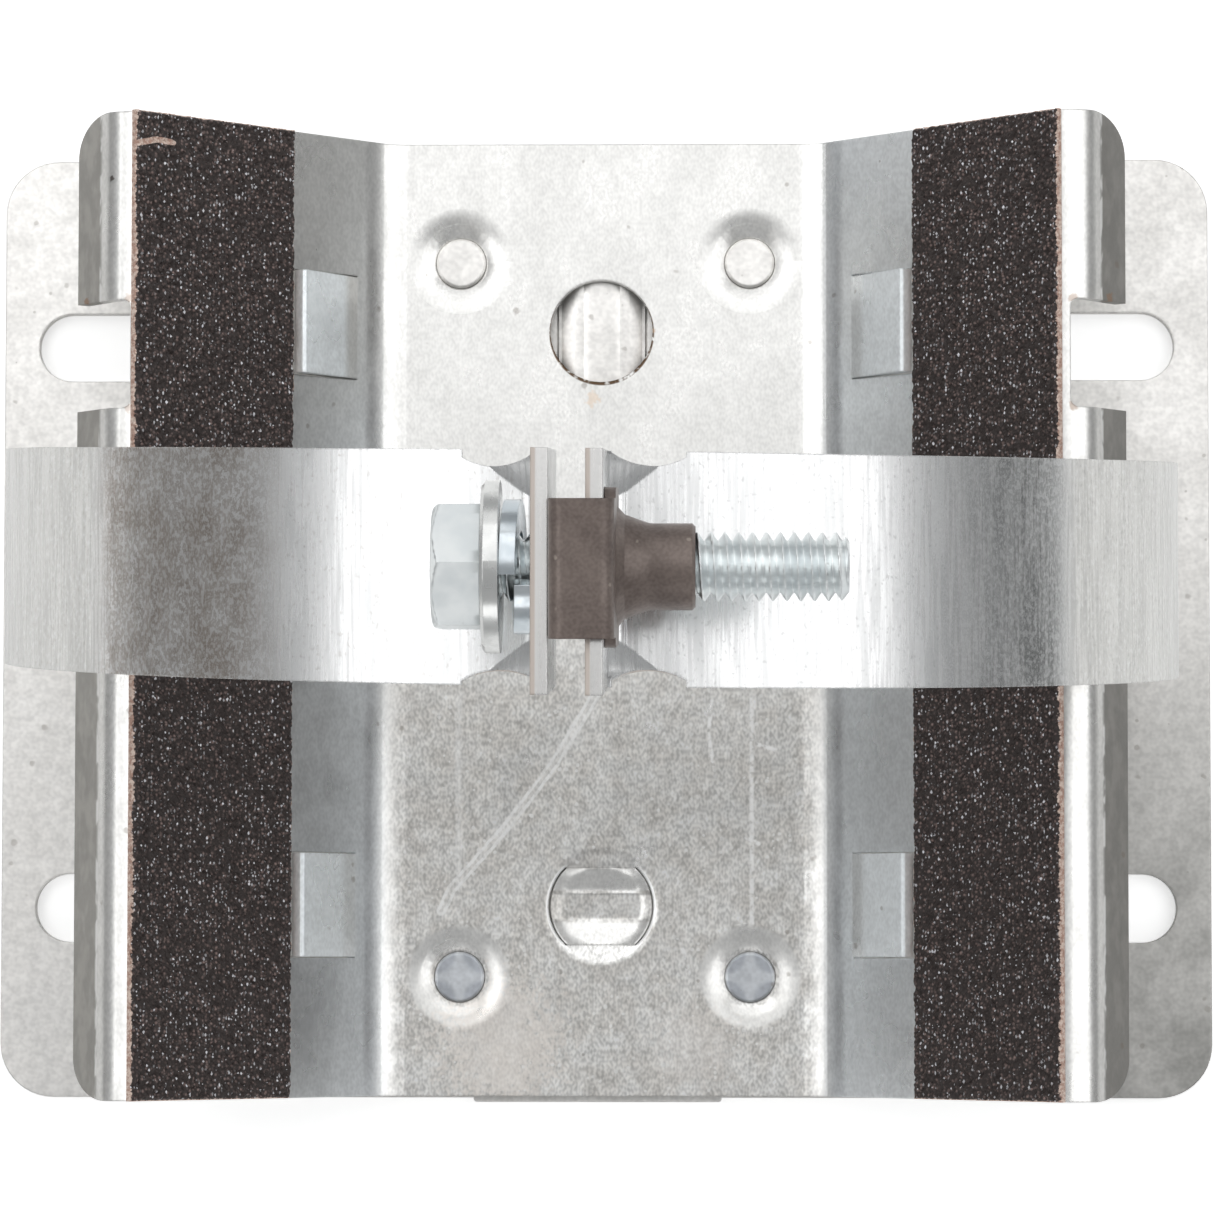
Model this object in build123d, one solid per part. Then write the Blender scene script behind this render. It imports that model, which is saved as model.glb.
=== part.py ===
from build123d import *
import math
import os

# Frame: origin at the centre of the slot pattern on the underside of the base,
# X across the stand, Y towards the back edge, Z up. Millimetres.

# base plate
base_length = 140.4
base_width = 109.2
base_thick = 1.5
base_corner = 6.2
slot_width = 7.9
slot_length = 20.0
slot_margin = 4.0
slot_pitch_y = 65.4
lip_width = 28.7
lip_reach = 0.5
lip_centre_x = -0.85
lip_corner = 0.4
lip_root = 3.0

# cradle sheet
cradle_length = 110.4
cradle_centre_y = 0.85
cradle_thick = 1.5
floor_top = 5.0
floor_share = 0.41275
slope_angle = 45.0
flange_slant = 40.0
flange_clear = 0.7
flange_bottom = 26.0
floor_bend = 3.6
peak_bend = 3.6
flange_corner = 4.7
notch_centre_y = 28.8
notch_width = 12.1
notch_depth = 6.5
notch_corner = 0.9

# raised stop tabs lanced from the slopes
tab_spacing = 66.6
tab_width = 11.8
tab_run = 5.5
tab_angle = 55.0
tab_gap = 0.15
tab_bend = 1.0
tab_bite = 1.2
tab_round = 0.5

# round hole over the raised bridge in the base, and the bridge pressed down in the floor
bridge_x = -0.4
bridge_offset_y = 33.35
hole_dia = 11.9
rise_radius = 6.2
rise_fold = 5.0
rise_flat = 2.1
rise_height = 1.5
rise_root = 1.5
rise_crown = 5.0
drop_radius = 6.05
drop_fold = 4.45
drop_flat = 1.45
drop_depth = 1.9
drop_root = 2.4
drop_crown = 0.6
bridge_bite = 0.8
bridge_hold = 0.3

# four staked buttons in dimples
button_inset = 7.8
button_offset_y = 41.5
button_radius = 2.9
button_top = 3.4
button_dent_radius = 1.7
button_dent_depth = 1.5
button_edge = 0.25
dimple_radius = 5.2
dimple_ring = 3.1
dimple_hole = 2.97
dimple_lip = 1.0
dimple_bite = 1.1
dimple_hold = 1.05
seat_gap = 0.02

# grip pads
pad_thick = 1.0
pad_share = 0.58725
pad_tab_gap = 1.0
pad_margin = 7.8

# clamp band
band_thick = 1.6
band_width = 22.2
band_radius = 59.6
band_clear = 0.2
band_corner = 15.0
band_centre_y = 2.95
band_lean = 4.6
band_yaw = -0.75
ear_gap_left = -1.9
ear_gap_right = 1.45
ear_height = 24.42
ear_bend = 1.6
ear_inner_bend = 1.4
ear_root = 0.5
ear_hole_radius = 3.75
dart_run = 7.6
dart_rise = 6.8
dart_depth = 5.5
dart_scoop = 7.0
dart_dip = 1.5
dart_web = 0.6
dart_sink = 0.35
dart_wall = 1.5
dart_skirt = 1.0

# bolt, washers and clip nut
bolt_y = -2.7
bolt_height = 12.42
bolt_radius = 3.175
bolt_tip_x = 25.4
head_flats = 11.11
head_height = 4.6
head_cone_drop = 5.0
head_cone_spread = 8.66
head_land = 0.35
point_chamfer = 0.6
flat_washer_radius = 7.94
flat_washer_bore = 3.55
flat_washer_thick = 1.65
flat_washer_edge = 0.3
lock_radius = 6.2
lock_bore = 3.3
lock_thick = 1.5
lock_rise = 1.45
lock_gap = 1.0
lock_split_angle = 15.0
lock_clear = 0.15
nut_thick = 1.0
nut_width = 12.6
nut_leg_width = 14.6
nut_ear_gap = 0.05
nut_rise = 2.0
nut_foot_drop = 8.5
nut_bend = 1.4
nut_leg_corner = 2.0
barrel_radius = 4.0
barrel_flare = 5.6
barrel_run = 3.0
barrel_end_x = 11.3
barrel_edge = 0.3
thread_gap = 0.05

# sizes that follow from the ones above
slot_end_x = base_length / 2 - slot_margin
flange_x = band_radius - flange_clear
notch_x = flange_x - notch_depth
floor_half = band_radius * floor_share
pad_inner_x = band_radius * pad_share
pad_outer_x = flange_x - pad_margin
tab_tip_x = pad_inner_x - pad_tab_gap
tab_root_x = tab_tip_x - tab_run
button_x = floor_half - button_inset
slope_rise = math.tan(math.radians(slope_angle))
pad_seat = (band_radius + band_clear + pad_thick) / math.cos(math.radians(slope_angle))
band_centre_z = floor_top - floor_half * slope_rise + pad_seat
crown_z = band_centre_z + band_radius + band_thick
ear_top = crown_z + ear_height
bolt_z = crown_z + bolt_height
nut_top = ear_top + nut_rise
nut_foot = bolt_z - nut_foot_drop
band_stock = 2 * band_width
band_reach = 2 * band_radius + 4 * ear_height

os.makedirs("parts", exist_ok=True)


# Outline through the corners (x, y, radius), every corner rounded to its own radius.
def rounded_face(corners):
    edges = []
    count = len(corners)
    starts = []
    ends = []
    mids = []
    for i in range(count):
        x, y, r = corners[i]
        px, py, pr = corners[i - 1]
        nx, ny, nr = corners[(i + 1) % count]
        into = Vector(px - x, py - y).normalized()
        out = Vector(nx - x, ny - y).normalized()
        here = Vector(x, y)
        if r <= 0:
            starts.append(here)
            ends.append(here)
            mids.append(None)
            continue
        half = math.acos(max(-1.0, min(1.0, into.dot(out)))) / 2
        reach = r / math.tan(half)
        middle = (into + out).normalized()
        centre = here + middle * (r / math.sin(half))
        starts.append(here + into * reach)
        ends.append(here + out * reach)
        mids.append(centre - middle * r)
    for i in range(count):
        if mids[i] is not None:
            edges.append(ThreePointArc(starts[i], mids[i], ends[i]))
        after = starts[(i + 1) % count]
        if (after - ends[i]).length > 1e-6:
            edges.append(Line(ends[i], after))
    return make_face(edges)


# Corners of a folded sheet, from its top line (x, z, top radius) and its thickness.
def folded_corners(top, thick):
    under = []
    count = len(top)
    for i in range(count):
        x, z, r = top[i]
        here = Vector(x, z)
        sides = []
        if i > 0:
            back = Vector(x - top[i - 1][0], z - top[i - 1][1]).normalized()
            sides.append(Vector(back.Y, -back.X))
        if i < count - 1:
            ahead = Vector(top[i + 1][0] - x, top[i + 1][1] - z).normalized()
            sides.append(Vector(ahead.Y, -ahead.X))
        if len(sides) == 1:
            under.append((here + sides[0] * thick, 0.0))
            continue
        mean = (sides[0] + sides[1]).normalized()
        mitre = thick / mean.dot(sides[0])
        turn = sides[0].X * sides[1].Y - sides[0].Y * sides[1].X
        under_radius = max(r + thick, 0.2) if turn > 0 else max(r - thick, 0.2)
        under.append((here + mean * mitre, under_radius if r > 0 else 0.0))
    lower = [(p.X, p.Y, r) for p, r in reversed(under)]
    return list(top) + lower


# Face drawn in X and Z, extruded along Y between two values.
def along_y(face, y_from, y_to):
    solid = extrude(face, amount=y_to - y_from, dir=(0, 0, 1))
    return Pos(0, y_to, 0) * Rot(90, 0, 0) * solid


# Face drawn in Y and Z, extruded along X between two values.
def along_x(face, x_from, x_to):
    solid = extrude(face, amount=x_to - x_from, dir=(0, 0, 1))
    return Pos(x_from, 0, 0) * Rot(0, 90, 0) * Rot(0, 0, 90) * solid


# Cylinder along X between two X values at a height and Y.
def rod_x(radius, x_from, x_to, y, z):
    body = Cylinder(radius, x_to - x_from)
    return Pos((x_from + x_to) / 2, y, z) * Rot(0, 90, 0) * body


# Bridge lanced in a sheet: a flat bar between two folds, drawn along the local X.
def bridge_parts(radius, fold, flat, height, level, thick, root, crown, upwards):
    sign = 1 if upwards else -1
    end = fold + bridge_bite
    top = [(-end, level, 0.0), (-fold, level, root), (-flat, level + sign * height, crown)]
    top += [(flat, level + sign * height, crown), (fold, level, root), (end, level, 0.0)]
    strip = along_x(rounded_face(folded_corners(top, thick)), -radius, radius)
    tall = 2 * (height + 2 * thick)
    disc = Pos(0, 0, level) * Cylinder(radius - tab_gap, tall)
    window = Pos(0, 0, level) * Cylinder(radius, tall)
    keep = Pos(0, 0, level) * Box(4 * radius, 2 * (fold + bridge_hold), tall)
    return strip & disc & keep, window & (Pos(0, 0, level) * Box(4 * radius, 2 * fold, tall))


def make_base():
    plate = Pos(0, 0, base_thick / 2) * Box(base_length, base_width, base_thick)
    plate = fillet(plate.edges().filter_by(Axis.Z), base_corner)
    lip_back = base_width / 2 - lip_root
    lip_span = lip_reach + lip_root
    lip = Box(lip_width, lip_span, base_thick)
    lip = fillet(lip.edges().filter_by(Axis.Z), lip_corner)
    plate += Pos(lip_centre_x, -lip_back - lip_span / 2, base_thick / 2) * lip
    slot_x = slot_end_x - slot_length / 2
    for side in (-1, 1):
        for end in (-1, 1):
            cut = extrude(SlotOverall(slot_length, slot_width), amount=3 * base_thick)
            plate -= Pos(side * slot_x, end * slot_pitch_y / 2, -base_thick) * cut
    strip, window = bridge_parts(
        rise_radius, rise_fold, rise_flat, rise_height, base_thick, base_thick, rise_root, rise_crown, True
    )
    place = Pos(bridge_x, cradle_centre_y + bridge_offset_y, 0) * Rot(0, 0, 90)
    plate -= place * window
    plate += place * strip
    boss = Pos(0, 0, (base_thick + button_top) / 2) * Cylinder(button_radius, button_top - base_thick)
    boss = chamfer(boss.edges().group_by(Axis.Z)[-1], button_edge)
    dent = Pos(0, 0, button_dent_depth / 2) * Cylinder(button_dent_radius, button_dent_depth)
    for side in (-1, 1):
        for end in (-1, 1):
            spot = Pos(side * button_x, cradle_centre_y + end * button_offset_y, 0)
            plate += spot * boss
            plate -= spot * dent
    return plate


# Top line of the right half of the cradle, from the floor's middle to the flange's edge.
def cradle_line():
    fall = math.tan(math.radians(flange_slant))
    drop = flange_bottom - floor_top + slope_rise * floor_half
    crest_x = (flange_x + fall * drop) / (1 + fall * slope_rise)
    crest_z = floor_top + slope_rise * (crest_x - floor_half)
    right = [(floor_half, floor_top, floor_bend), (crest_x, crest_z, peak_bend)]
    right.append((flange_x, flange_bottom, 0.0))
    return right


# Height of the slope's top face at a distance from the middle.
def slope_z(x):
    return floor_top + slope_rise * (x - floor_half)


def make_tab():
    tip_z = slope_z(tab_root_x) + math.tan(math.radians(tab_angle)) * (tab_tip_x - tab_root_x)
    bite_x = tab_root_x - tab_bite
    top = [(bite_x, slope_z(bite_x), 0.0), (tab_root_x, slope_z(tab_root_x), tab_bend)]
    top.append((tab_tip_x, tip_z, tab_round))
    tab = along_y(rounded_face(folded_corners(top, cradle_thick)), -tab_width / 2, tab_width / 2)
    run = (tab_tip_x - tab_root_x) / math.cos(math.radians(tab_angle))
    end_x = tab_root_x + run * math.cos(math.radians(slope_angle)) + tab_gap
    low = slope_z(tab_root_x)
    high = slope_z(end_x)
    reach = 1.6 * cradle_thick
    corners = [(tab_root_x - reach, low + reach), (tab_root_x + reach, low - reach)]
    corners += [(end_x + reach, high - reach), (end_x - reach, high + reach)]
    face = rounded_face([(x, z, 0.0) for x, z in corners])
    half = tab_width / 2 + tab_gap
    return tab, along_y(face, -half, half)


def make_cradle():
    right = cradle_line()
    left = [(-x, z, r) for x, z, r in reversed(right)]
    y_from = cradle_centre_y - cradle_length / 2
    y_to = cradle_centre_y + cradle_length / 2
    sheet = along_y(rounded_face(folded_corners(left + right, cradle_thick)), y_from, y_to)
    tab, window = make_tab()
    for turn in (0, 180):
        for end in (-1, 1):
            spot = Pos(0, cradle_centre_y + end * tab_spacing / 2, 0) * Rot(0, 0, turn)
            sheet -= spot * window
            sheet += spot * tab
    for side in (-1, 1):
        cut = Box(3 * notch_depth, notch_width, 2 * band_radius)
        inner = cut.edges().filter_by(Axis.Z).group_by(Axis.X)[0 if side > 0 else -1]
        cut = fillet(inner, notch_corner)
        sheet -= Pos(side * (notch_x + 1.5 * notch_depth), notch_centre_y, flange_bottom) * cut
        for end in (-1, 1):
            y = y_to if end > 0 else y_from
            corner = Box(2 * flange_corner, 2 * flange_corner, 2 * flange_corner)
            corner = Pos(side * flange_x, y, flange_bottom) * corner
            keep = Pos(side * flange_x, y - end * flange_corner, flange_bottom + flange_corner)
            corner -= keep * Rot(0, 90, 0) * Cylinder(flange_corner, 3 * flange_corner)
            sheet -= corner
    through = 4 * cradle_thick
    hole_y = cradle_centre_y + bridge_offset_y
    hole = Pos(bridge_x, hole_y, floor_top) * Cylinder(hole_dia / 2, through)
    sheet -= hole
    strip, window = bridge_parts(
        drop_radius, drop_fold, drop_flat, drop_depth, floor_top, cradle_thick, drop_root, drop_crown, False
    )
    place = Pos(bridge_x, cradle_centre_y - bridge_offset_y, 0)
    sheet -= place * window
    sheet += place * strip
    ring_top = base_thick + cradle_thick + seat_gap
    rim = dimple_radius + dimple_bite
    steep = math.atan2(floor_top - ring_top, dimple_radius - dimple_ring)
    lip_x = dimple_radius - dimple_lip * math.cos(steep)
    lip_z = floor_top - dimple_lip * math.sin(steep)
    section = [(dimple_hole, ring_top, 0.0), (dimple_ring, ring_top, 0.0), (lip_x, lip_z, 0.0)]
    section += [(dimple_radius + dimple_lip, floor_top, 0.0), (rim, floor_top, 0.0)]
    outline = rounded_face(folded_corners(section, cradle_thick))
    dimple = revolve(Rot(90, 0, 0) * outline, Axis.Z, 360)
    bite = Pos(0, 0, floor_top) * Cylinder(dimple_radius + dimple_hold, through)
    for side in (-1, 1):
        for end in (-1, 1):
            spot = Pos(side * button_x, cradle_centre_y + end * button_offset_y, 0)
            sheet -= spot * bite
            sheet += spot * dimple
    return sheet


def make_pad(side):
    lift = pad_thick / math.cos(math.radians(slope_angle))
    lean = pad_thick * math.sin(math.radians(slope_angle))
    start_x = pad_inner_x + lean
    corners = [(start_x, slope_z(start_x)), (pad_outer_x, slope_z(pad_outer_x))]
    corners += [(pad_outer_x, slope_z(pad_outer_x) + lift), (pad_inner_x, slope_z(pad_inner_x) + lift)]
    face = rounded_face([(side * x, z, 0.0) for x, z in corners])
    y_from = cradle_centre_y - cradle_length / 2
    return along_y(face, y_from, y_from + cradle_length)


# Slab as wide as the band, leaned to the front and yawed, that trims the band's edges.
def band_slab():
    slab = Box(2 * band_reach, band_width, 2 * band_reach)
    place = Pos(0, band_centre_y, band_centre_z)
    return place * Rot(0, 0, band_yaw) * Rot(band_lean, 0, 0) * slab


# Gusset dart pressed into the bend: its outer pyramid and the hollow behind it.
def dart(side, end, face_x, root_z, edge_y):
    def pyramid(run, rise, depth, shift):
        x = face_x + side * shift
        z = root_z - shift
        skirt_y = edge_y + end * dart_skirt
        root = (x, skirt_y, z)
        out = (x + side * run, skirt_y, z)
        up = (x, skirt_y, z + rise)
        inner = (x, edge_y - end * depth, z)
        faces = []
        for a, b, c in ((root, out, up), (root, out, inner), (root, up, inner), (out, up, inner)):
            faces.append(Face(Wire.make_polygon([a, b, c], close=True)))
        return Solid(Shell(faces))
    outer = pyramid(dart_run, dart_rise, dart_depth, 0.0)
    hollow = pyramid(dart_run, dart_rise, dart_depth - dart_web, -dart_wall)
    return outer, hollow


def make_band():
    centre_z = band_centre_z
    outer_r = band_radius + band_thick
    ends = (-band_stock, band_stock)
    crown = along_y(Circle(outer_r).face(), *ends) - along_y(Circle(band_radius).face(), *ends)
    upper = Pos(0, 0, band_reach) * Box(2 * band_reach, 4 * band_stock, 2 * band_reach)
    ring = Pos(0, 0, centre_z) * (crown & upper)
    top = [(-outer_r, centre_z, 0.0), (-outer_r, base_thick, band_corner)]
    top += [(outer_r, base_thick, band_corner), (outer_r, centre_z, 0.0)]
    inner_r = band_radius
    low = base_thick + band_thick
    bend = band_corner - band_thick
    inner = [(inner_r, centre_z, 0.0), (inner_r, low, bend), (-inner_r, low, bend), (-inner_r, centre_z, 0.0)]
    trough = along_y(rounded_face(top + inner), *ends)
    band = ring + trough
    gap_mid = (ear_gap_left + ear_gap_right) / 2
    gap = ear_gap_right - ear_gap_left
    band -= Pos(gap_mid, 0, crown_z) * Box(gap, 4 * band_stock, band_radius)
    for side, face in ((-1, ear_gap_left), (1, ear_gap_right)):
        foot = centre_z + math.sqrt(band_radius ** 2 - face ** 2)
        x_out = face + side * band_thick
        ear = Box(band_thick, 2 * band_stock, ear_top - foot)
        band += Pos(face + side * band_thick / 2, 0, (ear_top + foot) / 2) * ear
        top_z = centre_z + math.sqrt(outer_r ** 2 - x_out ** 2)
        web = Box(ear_bend + ear_root, 2 * band_stock, ear_bend + ear_root)
        web = Pos(x_out + side * (ear_bend - ear_root) / 2, 0, top_z + (ear_bend - ear_root) / 2) * web
        roller = Pos(x_out + side * ear_bend, 0, top_z + ear_bend) * Rot(90, 0, 0)
        band += web - roller * Cylinder(ear_bend, 3 * band_stock)
        nose = [(face - side * ear_root, foot - ear_root, 0.0)]
        nose += [(face + side * ear_inner_bend, foot - ear_root, 0.0)]
        nose += [(face - side * ear_root, foot + ear_inner_bend, 0.0)]
        band -= along_y(rounded_face(nose), *ends)
    band &= band_slab()
    lean = math.tan(math.radians(band_lean))
    for side, face in ((-1, ear_gap_left), (1, ear_gap_right)):
        x_out = face + side * band_thick
        root_z = centre_z + math.sqrt(outer_r ** 2 - x_out ** 2) - dart_sink
        middle = band_centre_y - lean * (root_z - centre_z)
        for end in (-1, 1):
            edge_y = middle + end * band_width / 2
            outer, hollow = dart(side, end, x_out, root_z, edge_y)
            band += outer & band_slab()
            band -= hollow
            scoop_y = edge_y + end * (dart_scoop - dart_dip)
            scoop_x = x_out + side * dart_run / 2
            scoop = Pos(scoop_x, scoop_y, root_z) * Cylinder(dart_scoop, 4 * dart_run)
            limit = Pos(scoop_x, scoop_y, root_z) * Box(dart_run - dart_web, band_stock, 4 * dart_run)
            band -= scoop & limit
    left_x = ear_gap_left - 2 * band_thick
    band -= rod_x(ear_hole_radius, left_x, ear_gap_right + 2 * band_thick, bolt_y, bolt_z)
    return band


def make_nut():
    in_face = ear_gap_right + band_thick + nut_ear_gap
    out_face = in_face + nut_thick
    left_face = ear_gap_left + nut_ear_gap
    top = [(left_face, nut_foot, 0.0), (left_face, nut_top, nut_bend)]
    top += [(out_face, nut_top, nut_bend), (out_face, nut_foot, 0.0)]
    clip = along_y(rounded_face(folded_corners(top, nut_thick)), -nut_width / 2, nut_width / 2)
    wide_top = bolt_z + nut_leg_width / 2
    leg = Box(nut_thick, nut_leg_width, wide_top - nut_foot)
    leg = fillet(leg.edges().filter_by(Axis.X), nut_leg_corner)
    clip += Pos((in_face + out_face) / 2, 0, (wide_top + nut_foot) / 2) * leg
    clip = Pos(0, bolt_y, bolt_z) * Rot(band_lean, 0, 0) * Pos(0, 0, -bolt_z) * clip
    bore = bolt_radius + thread_gap
    step = barrel_flare - barrel_radius
    profile = [(0, in_face, 0.0), (barrel_flare, in_face, 0.0), (barrel_flare, out_face, 0.0)]
    profile += [(barrel_radius + step / 2, out_face + barrel_run / 4, 0.0)]
    profile += [(barrel_radius, out_face + barrel_run, barrel_run / 2)]
    profile += [(barrel_radius, barrel_end_x - barrel_edge, 0.0)]
    profile += [(barrel_radius - barrel_edge, barrel_end_x, 0.0), (0, barrel_end_x, 0.0)]
    turned = revolve(Rot(90, 0, 0) * rounded_face(profile), Axis.Z, 360)
    clip += Pos(0, bolt_y, bolt_z) * Rot(0, 90, 0) * turned
    clip -= rod_x(bore, left_face, barrel_end_x + nut_thick, bolt_y, bolt_z)
    clip -= rod_x(ear_hole_radius, left_face - nut_thick, in_face - nut_ear_gap, bolt_y, bolt_z)
    return clip


# Planes along the axis where the stack of head, flat washer and lock washer sits.
def stack_planes():
    ear_face = ear_gap_left - band_thick
    lock_right = ear_face - lock_clear
    lock_left = lock_right - lock_thick - lock_rise
    head_face = lock_left - flat_washer_thick
    return head_face, lock_left, lock_right


def make_flat_washer():
    head_face, lock_left, lock_right = stack_planes()
    ring = Cylinder(flat_washer_radius, flat_washer_thick)
    ring = chamfer(ring.edges().group_by(Axis.Z)[-1], flat_washer_edge)
    ring -= Cylinder(flat_washer_bore, 2 * flat_washer_thick)
    return Pos((head_face + lock_left) / 2, bolt_y, bolt_z) * Rot(0, -90, 0) * ring


# Split ring as two half rings, each leaning, so that the ends at the split stand apart.
def make_lock_washer():
    head_face, lock_left, lock_right = stack_planes()
    edge = lock_radius + lock_clear
    mid = lock_rise / 2
    near = [(-edge, 0, 0.0), (edge, mid, 0.0), (edge, mid + lock_thick, 0.0), (-edge, lock_thick, 0.0)]
    far = [(-edge, lock_rise, 0.0), (edge, mid, 0.0), (edge, mid + lock_thick, 0.0)]
    far.append((-edge, lock_rise + lock_thick, 0.0))
    halves = along_y(rounded_face(near), 0, edge) + along_y(rounded_face(far), -edge, 0)
    tall = 2 * (lock_rise + lock_thick)
    ring = halves & (Cylinder(lock_radius, tall) - Cylinder(lock_bore, tall))
    ring -= Pos(-edge, 0, 0) * Box(2 * lock_bore, lock_gap, tall)
    return Pos(lock_left, bolt_y, bolt_z) * Rot(0, 90, 0) * Rot(0, 0, lock_split_angle) * ring


def make_bolt():
    head_face, lock_left, lock_right = stack_planes()
    hexagon = RegularPolygon(head_flats / 2, 6, major_radius=False)
    head = extrude(hexagon, amount=head_height)
    top_radius = head_flats / 2 - head_land
    on_top = (Align.CENTER, Align.CENTER, Align.MAX)
    cone = Cone(top_radius + head_cone_spread, top_radius, head_cone_drop, align=on_top)
    head &= Pos(0, 0, head_height) * cone
    shank_length = bolt_tip_x - head_face
    shank = Cylinder(bolt_radius, shank_length, align=on_top)
    shank = chamfer(shank.edges().group_by(Axis.Z)[0], point_chamfer)
    bolt = head + shank
    return Pos(head_face, bolt_y, bolt_z) * Rot(0, -90, 0) * bolt


pieces = [
    ("base_plate", make_base),
    ("cradle", make_cradle),
    ("left_grip_pad", lambda: make_pad(-1)),
    ("right_grip_pad", lambda: make_pad(1)),
    ("clamp_band", make_band),
    ("u_nut", make_nut),
    ("flat_washer", make_flat_washer),
    ("lock_washer", make_lock_washer),
    ("clamp_bolt", make_bolt),
]

for name, maker in pieces:
    shape = maker()
    shape.label = name
    export_step(shape, "parts/" + name + ".step")
    box = shape.bounding_box()
    print(name, len(shape.solids()), round(shape.volume, 1), box.min, box.max)
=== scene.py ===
import bmesh
import bpy
import math
import numpy as np
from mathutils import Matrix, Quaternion, Vector


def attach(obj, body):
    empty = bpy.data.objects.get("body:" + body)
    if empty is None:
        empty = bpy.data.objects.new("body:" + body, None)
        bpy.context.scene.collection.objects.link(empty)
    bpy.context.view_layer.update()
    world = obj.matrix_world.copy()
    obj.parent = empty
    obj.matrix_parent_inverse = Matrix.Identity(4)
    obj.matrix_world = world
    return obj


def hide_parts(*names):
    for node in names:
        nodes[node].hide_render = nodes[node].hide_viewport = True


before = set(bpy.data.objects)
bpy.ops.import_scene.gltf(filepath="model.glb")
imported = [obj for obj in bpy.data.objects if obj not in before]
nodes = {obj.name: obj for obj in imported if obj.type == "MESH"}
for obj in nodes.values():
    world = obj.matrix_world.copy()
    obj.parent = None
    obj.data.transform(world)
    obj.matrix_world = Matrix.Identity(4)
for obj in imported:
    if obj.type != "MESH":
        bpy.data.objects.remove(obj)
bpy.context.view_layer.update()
mm = 0.001
perMetre = 1000.0

# The camera looks almost straight down, turned a few degrees towards the stand's middle.
cameraSettings = {
    "place": (14.25 * mm, -38.79 * mm, 655.55 * mm),
    "turn": (3.596, 1.228, 0.047),
    "lens": 166.98,
    "sensor": 36.0,
    "clip": (0.01, 20.0),
}


def addObject(name, data):
    made = bpy.data.objects.new(name, data)
    bpy.context.scene.collection.objects.link(made)
    return made


def makeCamera(settings):
    data = bpy.data.cameras.new("overheadCamera")
    data.lens = settings["lens"]
    data.sensor_width = settings["sensor"]
    data.clip_start, data.clip_end = settings["clip"]
    camera = addObject("overheadCamera", data)
    camera.location = settings["place"]
    camera.rotation_euler = [math.radians(a) for a in settings["turn"]]
    bpy.context.scene.camera = camera


makeCamera(cameraSettings)
bpy.context.scene.view_settings.view_transform = "Standard"
print("camera set")


# The node tree that the helpers below add to.
current = {"tree": None}


# Adds one node and sets its plain properties by name.
def put(kind, **values):
    node = current["tree"].nodes.new(kind)
    for name, value in values.items():
        setattr(node, name, value)
    return node


# Joins a socket or a plain value to an input.
def feed(value, socket):
    if isinstance(value, bpy.types.NodeSocket):
        current["tree"].links.new(value, socket)
    elif value is not None:
        socket.default_value = value


# One Math node: an operation on up to three values.
def calc(operation, a, b=None, c=None, clamp=False):
    node = put("ShaderNodeMath", operation=operation, use_clamp=clamp)
    for value, socket in zip((a, b, c), node.inputs):
        feed(value, socket)
    return node.outputs[0]


# Product of two or more values.
def times(first, *others):
    for other in others:
        first = calc("MULTIPLY", first, other)
    return first


# Sum of two or more values.
def plus(first, *others):
    for other in others:
        first = calc("ADD", first, other)
    return first


def minus(a, b):
    return calc("SUBTRACT", a, b)


# What a mask leaves: 1 less the mask.
def rest(mask):
    return minus(1.0, mask)


# Distance between two values: the difference without its sign.
def gapTo(a, b):
    return calc("ABSOLUTE", minus(a, b))


# Smooth step of a value between two limits, to a range held flat outside them.
def fade(value, low, high, toLow=0.0, toHigh=1.0, kind="SMOOTHSTEP"):
    node = put("ShaderNodeMapRange", interpolation_type=kind)
    for given, socket in zip((value, low, high, toLow, toHigh), node.inputs):
        feed(given, socket)
    return node.outputs[0]


# The same along a straight line.
def straightFade(*given):
    return fade(*given, kind="LINEAR")


# The smooth step between two places in mm.
def fadeMm(value, places):
    low, high = places
    return fade(value, low * mm, high * mm)


# Mask of a span in mm: it rises between the first two places and falls between the last two.
def span(value, places):
    start, full, lastFull, end = places
    return times(fadeMm(value, (start, full)), fadeMm(value, (end, lastFull)))


# Colour between two colours by a factor.
def blendColour(factor, first, second, kind="MIX"):
    node = put("ShaderNodeMix", data_type="RGBA", blend_type=kind)
    feed(factor, node.inputs["Factor"])
    colourInputs = [s for s in node.inputs if s.type == "RGBA"]
    feed(first, colourInputs[0])
    feed(second, colourInputs[1])
    return [s for s in node.outputs if s.type == "RGBA"][0]


# A colour made lighter or darker by a number near 1.
def shadeColour(colour, level):
    grey = put("ShaderNodeCombineColor")
    for socket in grey.inputs:
        feed(level, socket)
    return blendColour(1.0, colour, grey.outputs[0], "MULTIPLY")


# Noise from 0 to 1 at a scale in cycles per metre.
def noise(vector, scale, detail=1.0, rough=0.5):
    node = put("ShaderNodeTexNoise")
    feed(vector, node.inputs["Vector"])
    feed(scale, node.inputs["Scale"])
    feed(detail, node.inputs["Detail"])
    feed(rough, node.inputs["Roughness"])
    return node.outputs["Fac"]


# A vector with each part multiplied, for stretched patterns.
def stretch(vector, factors):
    node = put("ShaderNodeVectorMath", operation="MULTIPLY")
    feed(vector, node.inputs[0])
    node.inputs[1].default_value = factors
    return node.outputs[0]


# Distance between two points.
def pointGap(a, b):
    node = put("ShaderNodeVectorMath", operation="DISTANCE")
    feed(a, node.inputs[0])
    feed(b, node.inputs[1])
    return node.outputs["Value"]


def dotProduct(a, b):
    node = put("ShaderNodeVectorMath", operation="DOT_PRODUCT")
    feed(a, node.inputs[0])
    feed(b, node.inputs[1])
    return node.outputs["Value"]


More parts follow.
